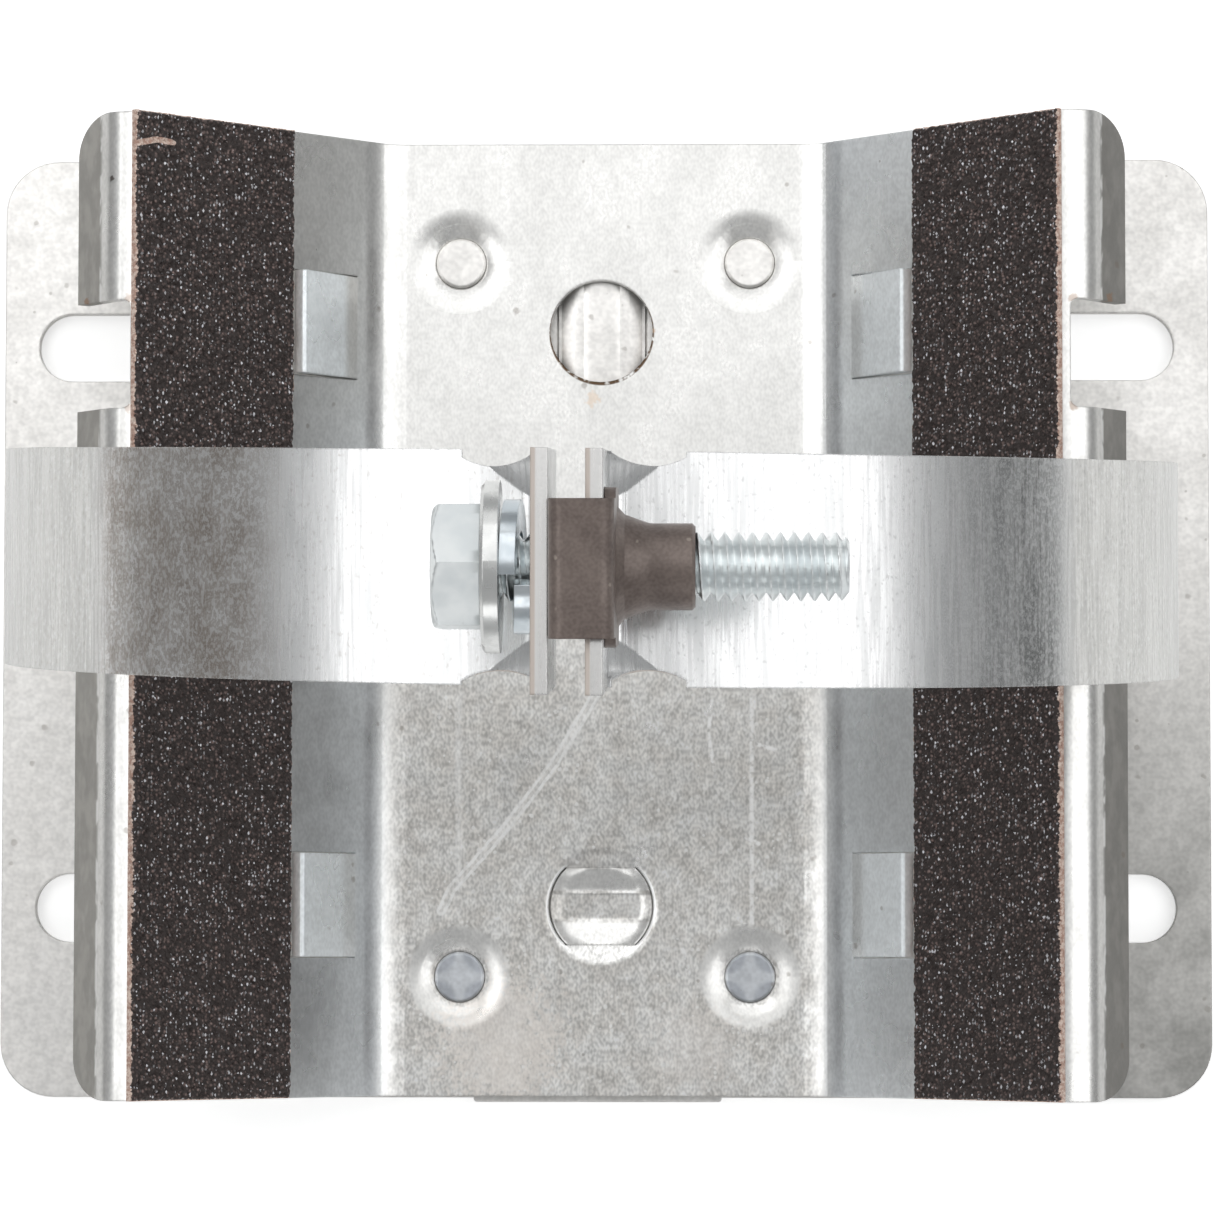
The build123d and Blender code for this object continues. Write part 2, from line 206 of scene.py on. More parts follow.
# Random cells at a scale in cells per metre: the distance from a cell's middle, and its three random numbers.
def randomCells(vector, scale, **values):
    cell = put("ShaderNodeTexVoronoi", feature="F1", **values)
    feed(vector, cell.inputs["Vector"])
    feed(scale, cell.inputs["Scale"])
    pick = put("ShaderNodeSeparateColor")
    feed(cell.outputs["Color"], pick.inputs[0])
    return cell.outputs["Distance"], pick.outputs


# A node group that takes vectors and numbers, and puts out masks or values.
def openGroup(name, vectors, numbers, outputs):
    tree = current["tree"] = bpy.data.node_groups.new(name, "ShaderNodeTree")
    for label in vectors:
        tree.interface.new_socket(name=label, in_out="INPUT", socket_type="NodeSocketVector")
    for label, value in numbers.items():
        socket = tree.interface.new_socket(name=label, in_out="INPUT", socket_type="NodeSocketFloat")
        socket.default_value = value
    for label in outputs:
        tree.interface.new_socket(name=label, in_out="OUTPUT", socket_type="NodeSocketFloat")
    return tree, put("NodeGroupInput").outputs, put("NodeGroupOutput").inputs


# Places a group in the current tree and feeds its inputs by name.
def useGroup(group, **values):
    node = put("ShaderNodeGroup", node_tree=group)
    for label, value in values.items():
        feed(value, node.inputs[label])
    return node.outputs


# Zinc skin: soft clouds, an orange peel and a fine grain, each from 0 to 1, and their height.
def makeZincSkin():
    scales = {"CloudScale": 110.0, "PeelScale": 800.0, "GrainScale": 2400.0}
    tree, ins, outs = openGroup("zincSkin", ["Vector"], scales, ["Cloud", "Peel", "Grain", "Height"])
    cloud = noise(ins["Vector"], ins["CloudScale"], 3.0, 0.6)
    peel = noise(ins["Vector"], ins["PeelScale"])
    grain = noise(ins["Vector"], ins["GrainScale"], 0.0)
    feed(fade(cloud, 0.32, 0.68), outs["Cloud"])
    feed(fade(peel, 0.28, 0.72), outs["Peel"])
    feed(fade(grain, 0.22, 0.78), outs["Grain"])
    feed(plus(times(peel, 0.72), times(grain, 0.28)), outs["Height"])
    return tree


# Small specks: the inside of a random share of small cells, their edges made ragged by a noise.
def makeSpecks():
    numbers = {"Scale": 260.0, "Share": 0.25, "Size": 0.12, "Ragged": 0.5}
    tree, ins, outs = openGroup("smallSpecks", ["Vector"], numbers, ["Mask"])
    middleGap, pick = randomCells(ins["Vector"], ins["Scale"])
    chosen = calc("LESS_THAN", pick[0], ins["Share"])
    reach = times(ins["Size"], plus(pick[1], 0.35))
    reach = times(reach, plus(times(ins["Ragged"], 1.4), 0.3))
    dot = fade(middleGap, reach, times(reach, 0.45))
    feed(times(dot, chosen), outs["Mask"])
    return tree


# Soft spot about a point: the distance to it over its reach, moved by a noise so that the edge is broken.
def makeSpot():
    tree, ins, outs = openGroup("softSpot", ["Vector", "Centre"], {"Reach": 0.002, "Ragged": 0.5}, ["Mask"])
    share = calc("DIVIDE", pointGap(ins["Vector"], ins["Centre"]), ins["Reach"])
    share = plus(share, times(minus(ins["Ragged"], 0.5), 1.6))
    feed(fade(share, 1.0, 0.45), outs["Mask"])
    return tree


# Distance in millimetres from the segment that starts at a point and goes along a run.
def makeStroke():
    tree, ins, outs = openGroup("segmentDistance", ["Vector", "Start", "Run"], {}, ["Gap"])
    away = put("ShaderNodeVectorMath", operation="SUBTRACT")
    feed(ins["Vector"], away.inputs[0])
    feed(ins["Start"], away.inputs[1])
    along = dotProduct(away.outputs[0], ins["Run"])
    share = calc("DIVIDE", along, dotProduct(ins["Run"], ins["Run"]), clamp=True)
    foot = put("ShaderNodeVectorMath", operation="SCALE")
    feed(ins["Run"], foot.inputs[0])
    feed(share, foot.inputs["Scale"])
    feed(times(pointGap(away.outputs[0], foot.outputs[0]), perMetre), outs["Gap"])
    return tree


zincSkin = makeZincSkin()
smallSpecks = makeSpecks()
softSpot = makeSpot()
segmentDistance = makeStroke()


# The zinc skin's outputs at scales for its clouds, peel and grain, in cycles per metre.
def skinAt(vector, scales):
    cloud, peel, grain = scales
    return useGroup(zincSkin, Vector=vector, CloudScale=cloud, PeelScale=peel, GrainScale=grain)


# Mask of specks, from their cells per metre, the share of cells that hold one and its size in its cell.
def specksAt(vector, ragged, specks):
    scale, share, size = specks
    return useGroup(smallSpecks, Vector=vector, Scale=scale, Share=share, Size=size, Ragged=ragged)["Mask"]


# A finish's own colour on a colour where a mask is, at the strength that the finish gives it.
def paint(mask, colour, settings, name):
    return blendColour(times(mask, settings[name + "Strength"]), colour, settings[name])


# Specks of one colour on a colour.
def paintSpecks(coords, ragged, colour, settings):
    return paint(specksAt(coords, ragged, settings["specks"]), colour, settings, "speck")


# Roughness that falls from its high to its low value where the skin's clouds are light.
def cloudRoughness(skin, settings):
    low, high = settings["roughness"]
    return fade(skin["Cloud"], 0.0, 1.0, high, low)


# A material with its shader, and the object coordinates it reads.
def openMaterial(name, metallic):
    material = bpy.data.materials.new(name)
    material.use_nodes = True
    current["tree"] = material.node_tree
    shader = material.node_tree.nodes["Principled BSDF"]
    shader.inputs["Metallic"].default_value = metallic
    coords = put("ShaderNodeTexCoord").outputs["Object"]
    return material, shader, coords


# Normal with rounded sheet edges and a fine relief on top, its depth in metres; edges stay as they are
# where the plain mask is 1.
def reliefNormal(height, depth, edge, shader, plain=None):
    bump = put("ShaderNodeBump")
    bump.inputs["Strength"].default_value = 1.0
    bump.inputs["Distance"].default_value = depth
    feed(height, bump.inputs["Height"])
    if edge > 0:
        rounded = put("ShaderNodeBevel", samples=4)
        rounded.inputs["Radius"].default_value = edge
        normal = rounded.outputs[0]
        if plain is not None:
            mix = put("ShaderNodeMix", data_type="VECTOR")
            vectorInputs = [s for s in mix.inputs if s.type == "VECTOR"]
            feed(plain, mix.inputs["Factor"])
            feed(normal, vectorInputs[-2])
            feed(put("ShaderNodeNewGeometry").outputs["Normal"], vectorInputs[-1])
            normal = [s for s in mix.outputs if s.type == "VECTOR"][0]
        feed(normal, bump.inputs["Normal"])
    feed(bump.outputs[0], shader.inputs["Normal"])


# Union of masks: the larger of each pair in turn.
def joinMasks(masks):
    total = masks[0]
    for mask in masks[1:]:
        total = calc("MAXIMUM", total, mask)
    return total


def splitXYZ(vector):
    node = put("ShaderNodeSeparateXYZ")
    feed(vector, node.inputs[0])
    return node.outputs


# The true facing of a face, in its three parts.
def facingXYZ():
    return splitXYZ(put("ShaderNodeNewGeometry").outputs["True Normal"])


# Mask of the stand's right half, soft over 10 mm.
def rightHalf(parts):
    return fadeMm(parts["X"], (-5, 5))


# Spots of one colour each on a colour: place and reach in mm, then the colour and how strong it is.
def paintSpots(coords, ragged, colour, spots):
    for place, reach, spotColour, strength in spots:
        centre = tuple(v * mm for v in place)
        mask = useGroup(softSpot, Vector=coords, Centre=centre, Reach=reach * mm, Ragged=ragged)["Mask"]
        colour = blendColour(times(mask, strength), colour, spotColour)
    return colour


# Distance in millimetres from a line through points given in mm: the least of its segments' distances.
def lineDistance(coords, points):
    least = None
    for first, second in zip(points, points[1:]):
        start = tuple(a * mm for a in first)
        run = tuple((b - a) * mm for a, b in zip(first, second))
        gap = useGroup(segmentDistance, Vector=coords, Start=start, Run=run)["Gap"]
        least = gap if least is None else calc("MINIMUM", least, gap)
    return least


# A ring of a distance about one value: 1 there and 0 a width away.
def ringOf(distance, value, width):
    return fade(gapTo(distance, value), width, width * 0.3)


# The buttons' middle in Y, and how far they lie from the middle lines in X and in Y, in mm.
buttonPlace = (0.85, 16.8, 41.5)


# Distance in millimetres from the nearest of four buttons, from the place folded about the middle lines:
# the root of both offsets' squares.
def buttonDistance(parts):
    middleY, buttonX, buttonY = buttonPlace
    sideways = minus(calc("ABSOLUTE", parts["X"]), buttonX * mm)
    endways = minus(gapTo(parts["Y"], middleY * mm), buttonY * mm)
    squares = plus(times(sideways, sideways), times(endways, endways))
    return times(calc("SQRT", squares), perMetre), sideways, endways


# Places are in mm. A ridge is its middle in X and Y, its reach, and where its sides start, end and how high.
baseFinish = {
    "skin": (130.0, 700.0, 2200.0),
    "raggedScale": 1300.0,
    "light": (0.90, 0.885, 0.86, 1.0),
    "dull": (0.82, 0.805, 0.78, 1.0),
    # painted shade: the base darker towards its front right
    "paintedShadeFront": (0.44, 0.435, 0.415, 1.0),
    "frontShadeX": (20, 72),
    "frontShadeY": (25, -50),
    "frontShadeCloud": (0.4, 0.7),
    "buttonRim": (3.0, 2.8),
    # painted reflection on the two front buttons: bluish grey, darker in diagonal lobes
    "buttonReflectionLight": (0.68, 0.715, 0.76, 1.0),
    "buttonReflectionDark": (0.47, 0.505, 0.56, 1.0),
    "buttonLobeFrom": (0.5, 1.8),
    "buttonStrength": 0.85,
    "tone": (0.12, 0.89),
    "speck": (0.25, 0.22, 0.19, 1.0),
    "specks": (520.0, 0.32, 0.20),
    "speckStrength": 0.38,
    "spots": [
        ((62.8, -39.0, 3.4), 1.3, (0.42, 0.27, 0.13, 1.0), 0.75),
        ((61.9, -37.2, 3.4), 0.9, (0.42, 0.27, 0.13, 1.0), 0.6),
        ((69.2, -25.0, 3.4), 1.6, (0.62, 0.60, 0.34, 1.0), 0.5),
        ((69.4, -38.6, 3.4), 1.5, (0.62, 0.58, 0.34, 1.0), 0.6),
        ((-66.6, -29.4, 3.4), 0.5, (0.20, 0.12, 0.07, 1.0), 0.8),
        ((-64.2, -28.9, 3.4), 0.35, (0.20, 0.12, 0.07, 1.0), 0.7),
    ],
    "roughness": (0.30, 0.38),
    "relief": 8e-6,
    "edge": 0.3 * mm,
    "ridge": (-0.4, 34.2, 7.0, 2.1, 5.0, 0.93),
}


def makeBaseFinish(settings):
    material, shader, coords = openMaterial("galvanizedBase", 1.0)
    parts = splitXYZ(coords)
    skin = skinAt(coords, settings["skin"])
    ragged = noise(coords, settings["raggedScale"], 1.0, 0.6)
    colour = blendColour(skin["Cloud"], settings["dull"], settings["light"])
    # painted shade: the base darkened towards its front right, broken by the skin's clouds
    frontShade = times(fadeMm(parts["X"], settings["frontShadeX"]), fadeMm(parts["Y"], settings["frontShadeY"]),
                 calc("MULTIPLY_ADD", skin["Cloud"], *settings["frontShadeCloud"]))
    colour = blendColour(frontShade, colour, settings["paintedShadeFront"])
    away, sideways, endways = buttonDistance(parts)
    # painted reflection: the two front buttons bluish grey, darker in diagonal lobes
    onButton = times(fade(away, *settings["buttonRim"]), fadeMm(parts["Y"], (5, -5)))
    lobes = fade(calc("ABSOLUTE", times(sideways, endways, perMetre ** 2)), *settings["buttonLobeFrom"])
    buttonReflection = blendColour(lobes, settings["buttonReflectionLight"], settings["buttonReflectionDark"])
    colour = blendColour(times(onButton, settings["buttonStrength"]), colour, buttonReflection)
    tone, level = settings["tone"]
    colour = shadeColour(colour, plus(times(skin["Peel"], tone), times(skin["Grain"], tone), level))
    colour = paintSpecks(coords, ragged, colour, settings)
    colour = paintSpots(coords, ragged, colour, settings["spots"])
    feed(colour, shader.inputs["Base Color"])
    feed(cloudRoughness(skin, settings), shader.inputs["Roughness"])

    ridgeX, ridgeY, ridgeReach, sideFrom, sideTo, sideRise = settings["ridge"]
    across = times(gapTo(parts["X"], ridgeX * mm), perMetre)
    along = times(gapTo(parts["Y"], ridgeY * mm), perMetre)
    lift = straightFade(across, sideFrom, sideTo, 0.0, sideRise)
    nearRidge = times(calc("LESS_THAN", along, ridgeReach), calc("LESS_THAN", across, ridgeReach))
    height = plus(skin["Height"], times(lift, nearRidge, mm / settings["relief"]))
    reliefNormal(height, settings["relief"], settings["edge"], shader, nearRidge)
    return material


# Places are in mm. A span is where a mask starts, is full, is last full and ends.
cradleFinish = {
    "skin": (120.0, 800.0, 2600.0),
    "skinStretch": (1.25, 0.8, 1.0),
    "raggedScale": 1500.0,
    "blotchScale": 260.0,
    "light": (0.885, 0.88, 0.86, 1.0),
    "dull": (0.835, 0.83, 0.81, 1.0),
    "speck": (0.20, 0.16, 0.13, 1.0),
    "specks": (380.0, 0.16, 0.17),
    "speckStrength": 0.42,
    "roughness": (0.27, 0.34),
    "roughWorn": 0.10,
    "roughCut": 0.2,
    "relief": 9e-6,
    "edge": 0.3 * mm,
    # slopes, from the floor's bend up to the peak; high up, the left slope is painted darker as shade and the right
    # lighter as light
    "slopeSpan": (24.5, 27.0, 49.0, 52.0),
    "slopeChange": (25, 37),
    "slopeWander": 1.5,
    "slopeStrength": 0.9,
    "slopeNear": (0.84, 0.87, 0.89, 1.0),
    "slopeLeftShaded": (0.62, 0.635, 0.64, 1.0),
    "slopeRightLit": (0.90, 0.925, 0.935, 1.0),
    "slopeWarm": (0.56, 0.55, 0.525, 1.0),
    "warmFrom": (8, 36),
    "warmStrength": 0.75,
    # tabs, raised from the slopes and painted lighter and bluer as the light they catch, and their cut edges
    "slopeShift": 19.6,
    "tabRaised": (0.25, 0.7),
    "tabSpan": (28.0, 30.0, 36.5, 36.8),
    "tab": (0.86, 0.90, 0.92, 1.0),
    "tabDull": (0.30, 0.28),
    "cutSpan": (31.0, 32.0, 36.0, 36.5),
    "cutEdge": (0.72, 0.73, 0.73, 1.0),
    "cutDull": 0.55,
    # floor, worn towards the front, and its bridge: the bar's half width, its colour painted darker as shade in the
    # sunken bar, and the round bulge before it
    "floorEdge": (25.5, 23.0),
    "front": (12, -12),
    "worn": (0.60, 0.58, 0.55, 1.0),
    "wornStrength": 0.8,
    "mottle": (0.40, 0.20),
    "bridgeX": -0.4,
    "bridgeY": -32.5,
    "bridgeSpan": (3.2, 3.5, 4.7, 4.97),
    "barHalf": (1.9, 1.5),
    "bar": (0.52, 0.505, 0.48, 1.0),
    "barStrength": 0.85,
    "bulgeEdge": (7.1, 6.4),
    "bulgeFrom": (-3.4, -4.2),
    # painted highlight: pale rings along the bridge's cut arcs
    "arc": (6.22, 0.22),
    "arcHighlightEnds": (5.2, 4.2),
    # outer flanges, painted dark as shade and stained brown
    "lipFrom": 56.0,
    "lip": (0.345, 0.33, 0.305, 1.0),
    "lipDark": (0.27, 0.26, 0.24, 1.0),
    "lipStrength": 0.9,
    "lipShade": (-0.38, 1.03),
    "lipStain": (0.40, 0.66),
    "stainScale": 520.0,
    "nearLip": 0.35,
    # painted highlight along the flange's fold
    "lipRidge": (0.46, 0.56, 0.0, 0.6),
    # pale marks: one long double scratch, straight rubs with their width and strength, chips and flecks
    "pale": (0.95, 0.95, 0.94, 1.0),
    "paleStrength": 0.85,
    "paleDull": 0.8,
    "scratch": [(-0.7, -7.5, 5.0), (-5.8, -16.0, 5.0), (-11.2, -23.2, 5.0), (-17.7, -30.6, 5.0),
                (-18.8, -33.0, 5.0)],
    "scratchLines": (0.42, 0.30),
    "marks": [([(-16.9, -8.0, 5.0), (-16.9, -33.5, 5.0)], 0.65, 0.55),
              ([(17.0, -8.0, 5.0), (17.0, -34.5, 5.0)], 0.40, 1.0)],
    "chips": [[(17.0, -13.6, 5.0), (20.2, -14.6, 5.0)], [(12.4, -8.8, 5.0), (12.0, -12.6, 5.0), (12.6, -16.2, 5.0)],
              [(-4.6, -9.6, 5.0), (-6.4, -10.4, 5.0)], [(16.4, -24.6, 5.0), (17.8, -25.3, 5.0)],
              [(8.4, -36.4, 5.0), (9.3, -38.0, 5.0), (8.5, -40.6, 5.0)]],
    "chipWidth": 0.34,
    "flecks": (1500.0, 0.36, 0.40),
    "fleckClouds": (0.40, 0.62, 0.45, 1.0),
    "fleckFront": (0.66, 0.10),
    "holeRim": ((-0.37, 33.96, 5.0), 5.95, (0.13, 0.085, 0.055, 1.0)),
    "spots": [
        ((-12.0, -48.0, 5.0), 9.0, (0.93, 0.875, 0.82, 1.0), 0.55),
        ((10.5, -48.5, 5.0), 6.0, (0.92, 0.87, 0.825, 1.0), 0.30),
        ((-1.4, 26.2, 5.0), 1.1, (0.80, 0.60, 0.42, 1.0), 0.45),
        ((4.8, 36.1, 5.0), 0.55, (0.30, 0.17, 0.10, 1.0), 0.8),
        ((5.6, 34.2, 5.0), 0.4, (0.55, 0.40, 0.28, 1.0), 0.6),
        ((-54.6, 48.6, 30.8), 0.42, (0.10, 0.08, 0.07, 1.0), 0.85),
        ((-52.5, 35.1, 31.4), 0.7, (0.34, 0.20, 0.12, 1.0), 0.5),
        ((-57.6, 35.0, 27.3), 0.7, (0.30, 0.18, 0.11, 1.0), 0.7),
        ((-52.6, 22.6, 31.4), 0.6, (0.34, 0.20, 0.12, 1.0), 0.45),
        ((52.6, 35.0, 31.4), 0.6, (0.34, 0.20, 0.12, 1.0), 0.5),
        ((56.8, 35.1, 28.2), 0.9, (0.30, 0.18, 0.11, 1.0), 0.6),
        ((52.7, 22.8, 31.4), 0.7, (0.30, 0.18, 0.11, 1.0), 0.6),
    ],
    # heights that soften the folded sheet
    "dimpleSheet": [(3.1, 3.02), (4.47, 4.31), (6.2, 5.0)],
    "bowl": (2.9, 6.2, 0.82, 2.1),
    "bend": (25.0, 2.8, 23.1, 25.65),
    "crown": (50.6, 53.6, 0.6),
    "ramp": (-4.45, -1.2, 1.6, 4.45, 0.85),
    "rampReach": (8.0, 6.0),
    "skirt": (6.9, 4.3, 0.75),
}


# Height that widens a fold: a parabola half a span either side of the fold's place, less the solid's own arc,
# which is taken as a parabola too.
def bendLift(out, place):
    middle, half, arcFrom, arcTo = place
    wide = straightFade(out, (middle - half) * mm, (middle + half) * mm, 0.0, 1.0)
    arc = straightFade(out, arcFrom * mm, arcTo * mm, 0.0, 1.0)
    beyond = straightFade(out, arcTo * mm, (middle + half) * mm, 0.0, middle + half - arcTo)
    lift = minus(times(wide, wide, half), times(arc, arc, (arcTo - arcFrom) / 2))
    return minus(lift, beyond)


# Heights in mm over the solid: each dimple is a bowl whose depth is a power of the way in from its edge, less
# the solid's own straight sides; then the bridge's ramps, its skirt, the floor's bends and the peaks' crowns.
def cradleLift(parts, out, rampPlace, arcGap, settings):
    away = buttonDistance(parts)[0]
    (r0, z0), (r1, z1), (r2, z2) = settings["dimpleSheet"]
    sheet = plus(straightFade(away, r0, r1, z0, z1), straightFade(away, r1, r2, 0.0, z2 - z1))
    bowlFrom, bowlTo, bowlDepth, bowlPower = settings["bowl"]
    inside = straightFade(away, bowlFrom, bowlTo, 1.0, 0.0)
    bowl = times(calc("POWER", inside, bowlPower), -bowlDepth)
    inDimple = fade(away, r2 + 0.4, r2 + 0.2)
    change = times(minus(plus(bowl, z2), sheet), inDimple)

    rampFrom, rampTop, rampEnd, rampTo, rampRise = settings["ramp"]
    lift = fade(rampPlace, rampFrom, rampTop, 0.0, rampRise)
    lift = minus(lift, fade(rampPlace, rampEnd, rampTo, 0.0, rampRise))
    reachX, reachY = settings["rampReach"]
    low = calc("LESS_THAN", parts["Z"], settings["bridgeSpan"][-1] * mm)
    onBridge = times(low, calc("LESS_THAN", out, reachX * mm), calc("LESS_THAN", calc("ABSOLUTE", rampPlace), reachY))
    skirtOut, skirtIn, skirtFall = settings["skirt"]
    crownFrom, crownTo, crownFall = settings["crown"]
    change = plus(change, times(lift, onBridge),
                  fade(arcGap, skirtIn, skirtOut, -skirtFall, 0.0),
                  bendLift(out, settings["bend"]),
                  fade(out, crownFrom * mm, crownTo * mm, 0.0, -crownFall))
    return change, inDimple


# Pale marks as one mask: the scratch is a ring of the distance from its line, so that it shows as two lines.
def paleMarks(coords, ragged, skin, onFlecked, settings):
    broken = fade(ragged, 0.36, 0.58)
    dragGap = plus(lineDistance(coords, settings["scratch"]), times(skin["Peel"], 0.10))
    drag = joinMasks([ringOf(dragGap, *settings["scratchLines"]), times(fade(dragGap, 0.75, 0.5), 0.35)])
    drag = times(drag, calc("MULTIPLY_ADD", broken, 0.40, 0.60))
    rubbed = joinMasks([times(fade(lineDistance(coords, line), wide, 0.1), strength)
                        for line, wide, strength in settings["marks"]])
    rubbed = times(rubbed, calc("MULTIPLY_ADD", broken, 0.75, 0.20))
    chipped = joinMasks([ringOf(lineDistance(coords, line), 0.0, settings["chipWidth"])
                         for line in settings["chips"]])
    flecks = times(specksAt(coords, ragged, settings["flecks"]), onFlecked)
    return joinMasks([drag, rubbed, flecks, times(chipped, broken)])


def makeCradleFinish(settings):
    material, shader, coords = openMaterial("galvanizedCradle", 1.0)
    parts = splitXYZ(coords)
    skin = skinAt(stretch(coords, settings["skinStretch"]), settings["skin"])
    ragged = noise(coords, settings["raggedScale"], 1.0, 0.65)
    blotch = noise(coords, settings["blotchScale"], 2.0, 0.7)
    out = calc("ABSOLUTE", parts["X"])
    rightSide = rightHalf(parts)
    colour = blendColour(skin["Cloud"], settings["dull"], settings["light"])

    climb = plus(out, times(minus(skin["Cloud"], 0.5), settings["slopeWander"] * mm))
    # painted shade and light: high on the slopes the left is darkened and the right lightened
    farColour = blendColour(rightSide, settings["slopeLeftShaded"], settings["slopeRightLit"])
    climbed = fadeMm(climb, settings["slopeChange"])
    slopeColour = blendColour(climbed, settings["slopeNear"], farColour)
    warm = fadeMm(parts["Y"], settings["warmFrom"])
    warm = times(rest(rightSide), warm, settings["warmStrength"])
    slopeColour = blendColour(warm, slopeColour, settings["slopeWarm"])
    onSlope = times(span(out, settings["slopeSpan"]), settings["slopeStrength"])
    colour = blendColour(onSlope, colour, slopeColour)

    raised = minus(plus(parts["Z"], settings["slopeShift"] * mm), out)
    raised = fadeMm(raised, settings["tabRaised"])
    onTab = times(raised, span(out, settings["tabSpan"]))
    # painted light: the raised tabs lighter and bluer than the slopes
    colour = blendColour(onTab, colour, settings["tab"])
    outward = times(facingXYZ()["X"], calc("SIGN", parts["X"]))
    cutEdge = times(fade(outward, 0.15, 0.4), span(out, settings["cutSpan"]))
    colour = blendColour(cutEdge, colour, settings["cutEdge"])

    # places along the bridge, and the distance from its middle, in mm
    rampPlace = times(minus(parts["Y"], settings["bridgeY"] * mm), perMetre)
    arcPlace = minus(times(parts["X"], perMetre), settings["bridgeX"])
    arcGap = calc("SQRT", plus(times(arcPlace, arcPlace), times(rampPlace, rampPlace)))
    front = fadeMm(parts["Y"], settings["front"])
    onBridge = span(parts["Z"], settings["bridgeSpan"])
    onFloor = fadeMm(out, settings["floorEdge"])
    onFloor = times(onFloor, rest(onBridge))
    bulge = times(fade(arcGap, *settings["bulgeEdge"]), fade(rampPlace, *settings["bulgeFrom"]))
    worn = times(front, onFloor, fade(blotch, 0.30, 0.66), rest(bulge))
    # painted shade: the bridge's sunken bar darkened, mottled by the peel
    onBar = times(onBridge, fade(calc("ABSOLUTE", rampPlace), *settings["barHalf"]),
                  fade(skin["Peel"], 0.0, 0.8, 0.6, 1.0))
    colour = paint(worn, colour, settings, "worn")
    colour = paint(onBar, colour, settings, "bar")
    depth = calc("MULTIPLY_ADD", times(front, onFloor), *settings["mottle"])
    mixed = plus(times(skin["Grain"], 0.6), times(skin["Peel"], 0.4))
    colour = shadeColour(colour, calc("MULTIPLY_ADD", minus(mixed, 0.5), depth, 1.0))

    # painted shade: the outer flanges and the edge of the peak just inside them darkened, more on the right, mottled
    # by brown stains
    lipFrom = settings["lipFrom"]
    stained = noise(stretch(coords, (1.0, 0.5, 1.0)), settings["stainScale"], 2.0, 0.7)
    lipColour = blendColour(fade(stained, *settings["lipStain"]), settings["lipDark"], settings["lip"])
    lipColour = shadeColour(lipColour, calc("MULTIPLY_ADD", rightSide, *settings["lipShade"]))
    onLip = fadeMm(out, (lipFrom - 0.5, lipFrom + 0.2))
    nearLip = times(fadeMm(out, (lipFrom - 2.0, lipFrom - 0.9)), settings["nearLip"])
    lipMask = calc("MAXIMUM", times(onLip, settings["lipStrength"]), nearLip)
    colour = blendColour(lipMask, colour, lipColour)
    # painted highlight: a thin pale line along the flange's fold, broken by the stain noise
    ridge = fadeMm(gapTo(out, lipFrom * mm), (0.22, 0.05))
    ridge = times(ridge, fade(stained, *settings["lipRidge"]))

    onFlecked = times(fade(blotch, *settings["fleckClouds"]), onFloor,
                      calc("MULTIPLY_ADD", front, *settings["fleckFront"]))
    pale = joinMasks([paleMarks(coords, ragged, skin, onFlecked, settings), ridge])
    colour = paint(pale, colour, settings, "pale")
    colour = paintSpecks(coords, ragged, colour, settings)
    # painted highlight: pale rings along the bridge's cut arcs, fading where they reach its folds
    arcHighlightEnds = fade(calc("ABSOLUTE", rampPlace), *settings["arcHighlightEnds"])
    arc = times(ringOf(arcGap, *settings["arc"]), arcHighlightEnds)
    colour = blendColour(arc, colour, settings["pale"])
    centre, radius, rimColour = settings["holeRim"]
    holeGap = pointGap(coords, tuple(v * mm for v in centre))
    rim = fadeMm(holeGap, (radius + 0.22, radius + 0.05))
    colour = blendColour(times(rim, fade(ragged, 0.25, 0.5)), colour, rimColour)
    colour = paintSpots(coords, ragged, colour, settings["spots"])
    feed(colour, shader.inputs["Base Color"])

    rough = plus(cloudRoughness(skin, settings),
                 times(calc("MAXIMUM", worn, onLip), settings["roughWorn"]),
                 times(cutEdge, settings["roughCut"]))
    feed(rough, shader.inputs["Roughness"])
    tabDull = calc("MULTIPLY_ADD", rightSide, *settings["tabDull"])
    paleDull = times(pale, settings["paleDull"])
    dulled = joinMasks([times(cutEdge, settings["cutDull"]), times(onTab, tabDull), paleDull])
    feed(rest(dulled), shader.inputs["Metallic"])

    change, inDimple = cradleLift(parts, out, rampPlace, arcGap, settings)
    height = plus(skin["Height"], times(change, mm / settings["relief"]))
    reliefNormal(height, settings["relief"], settings["edge"], shader, inDimple)
    return material


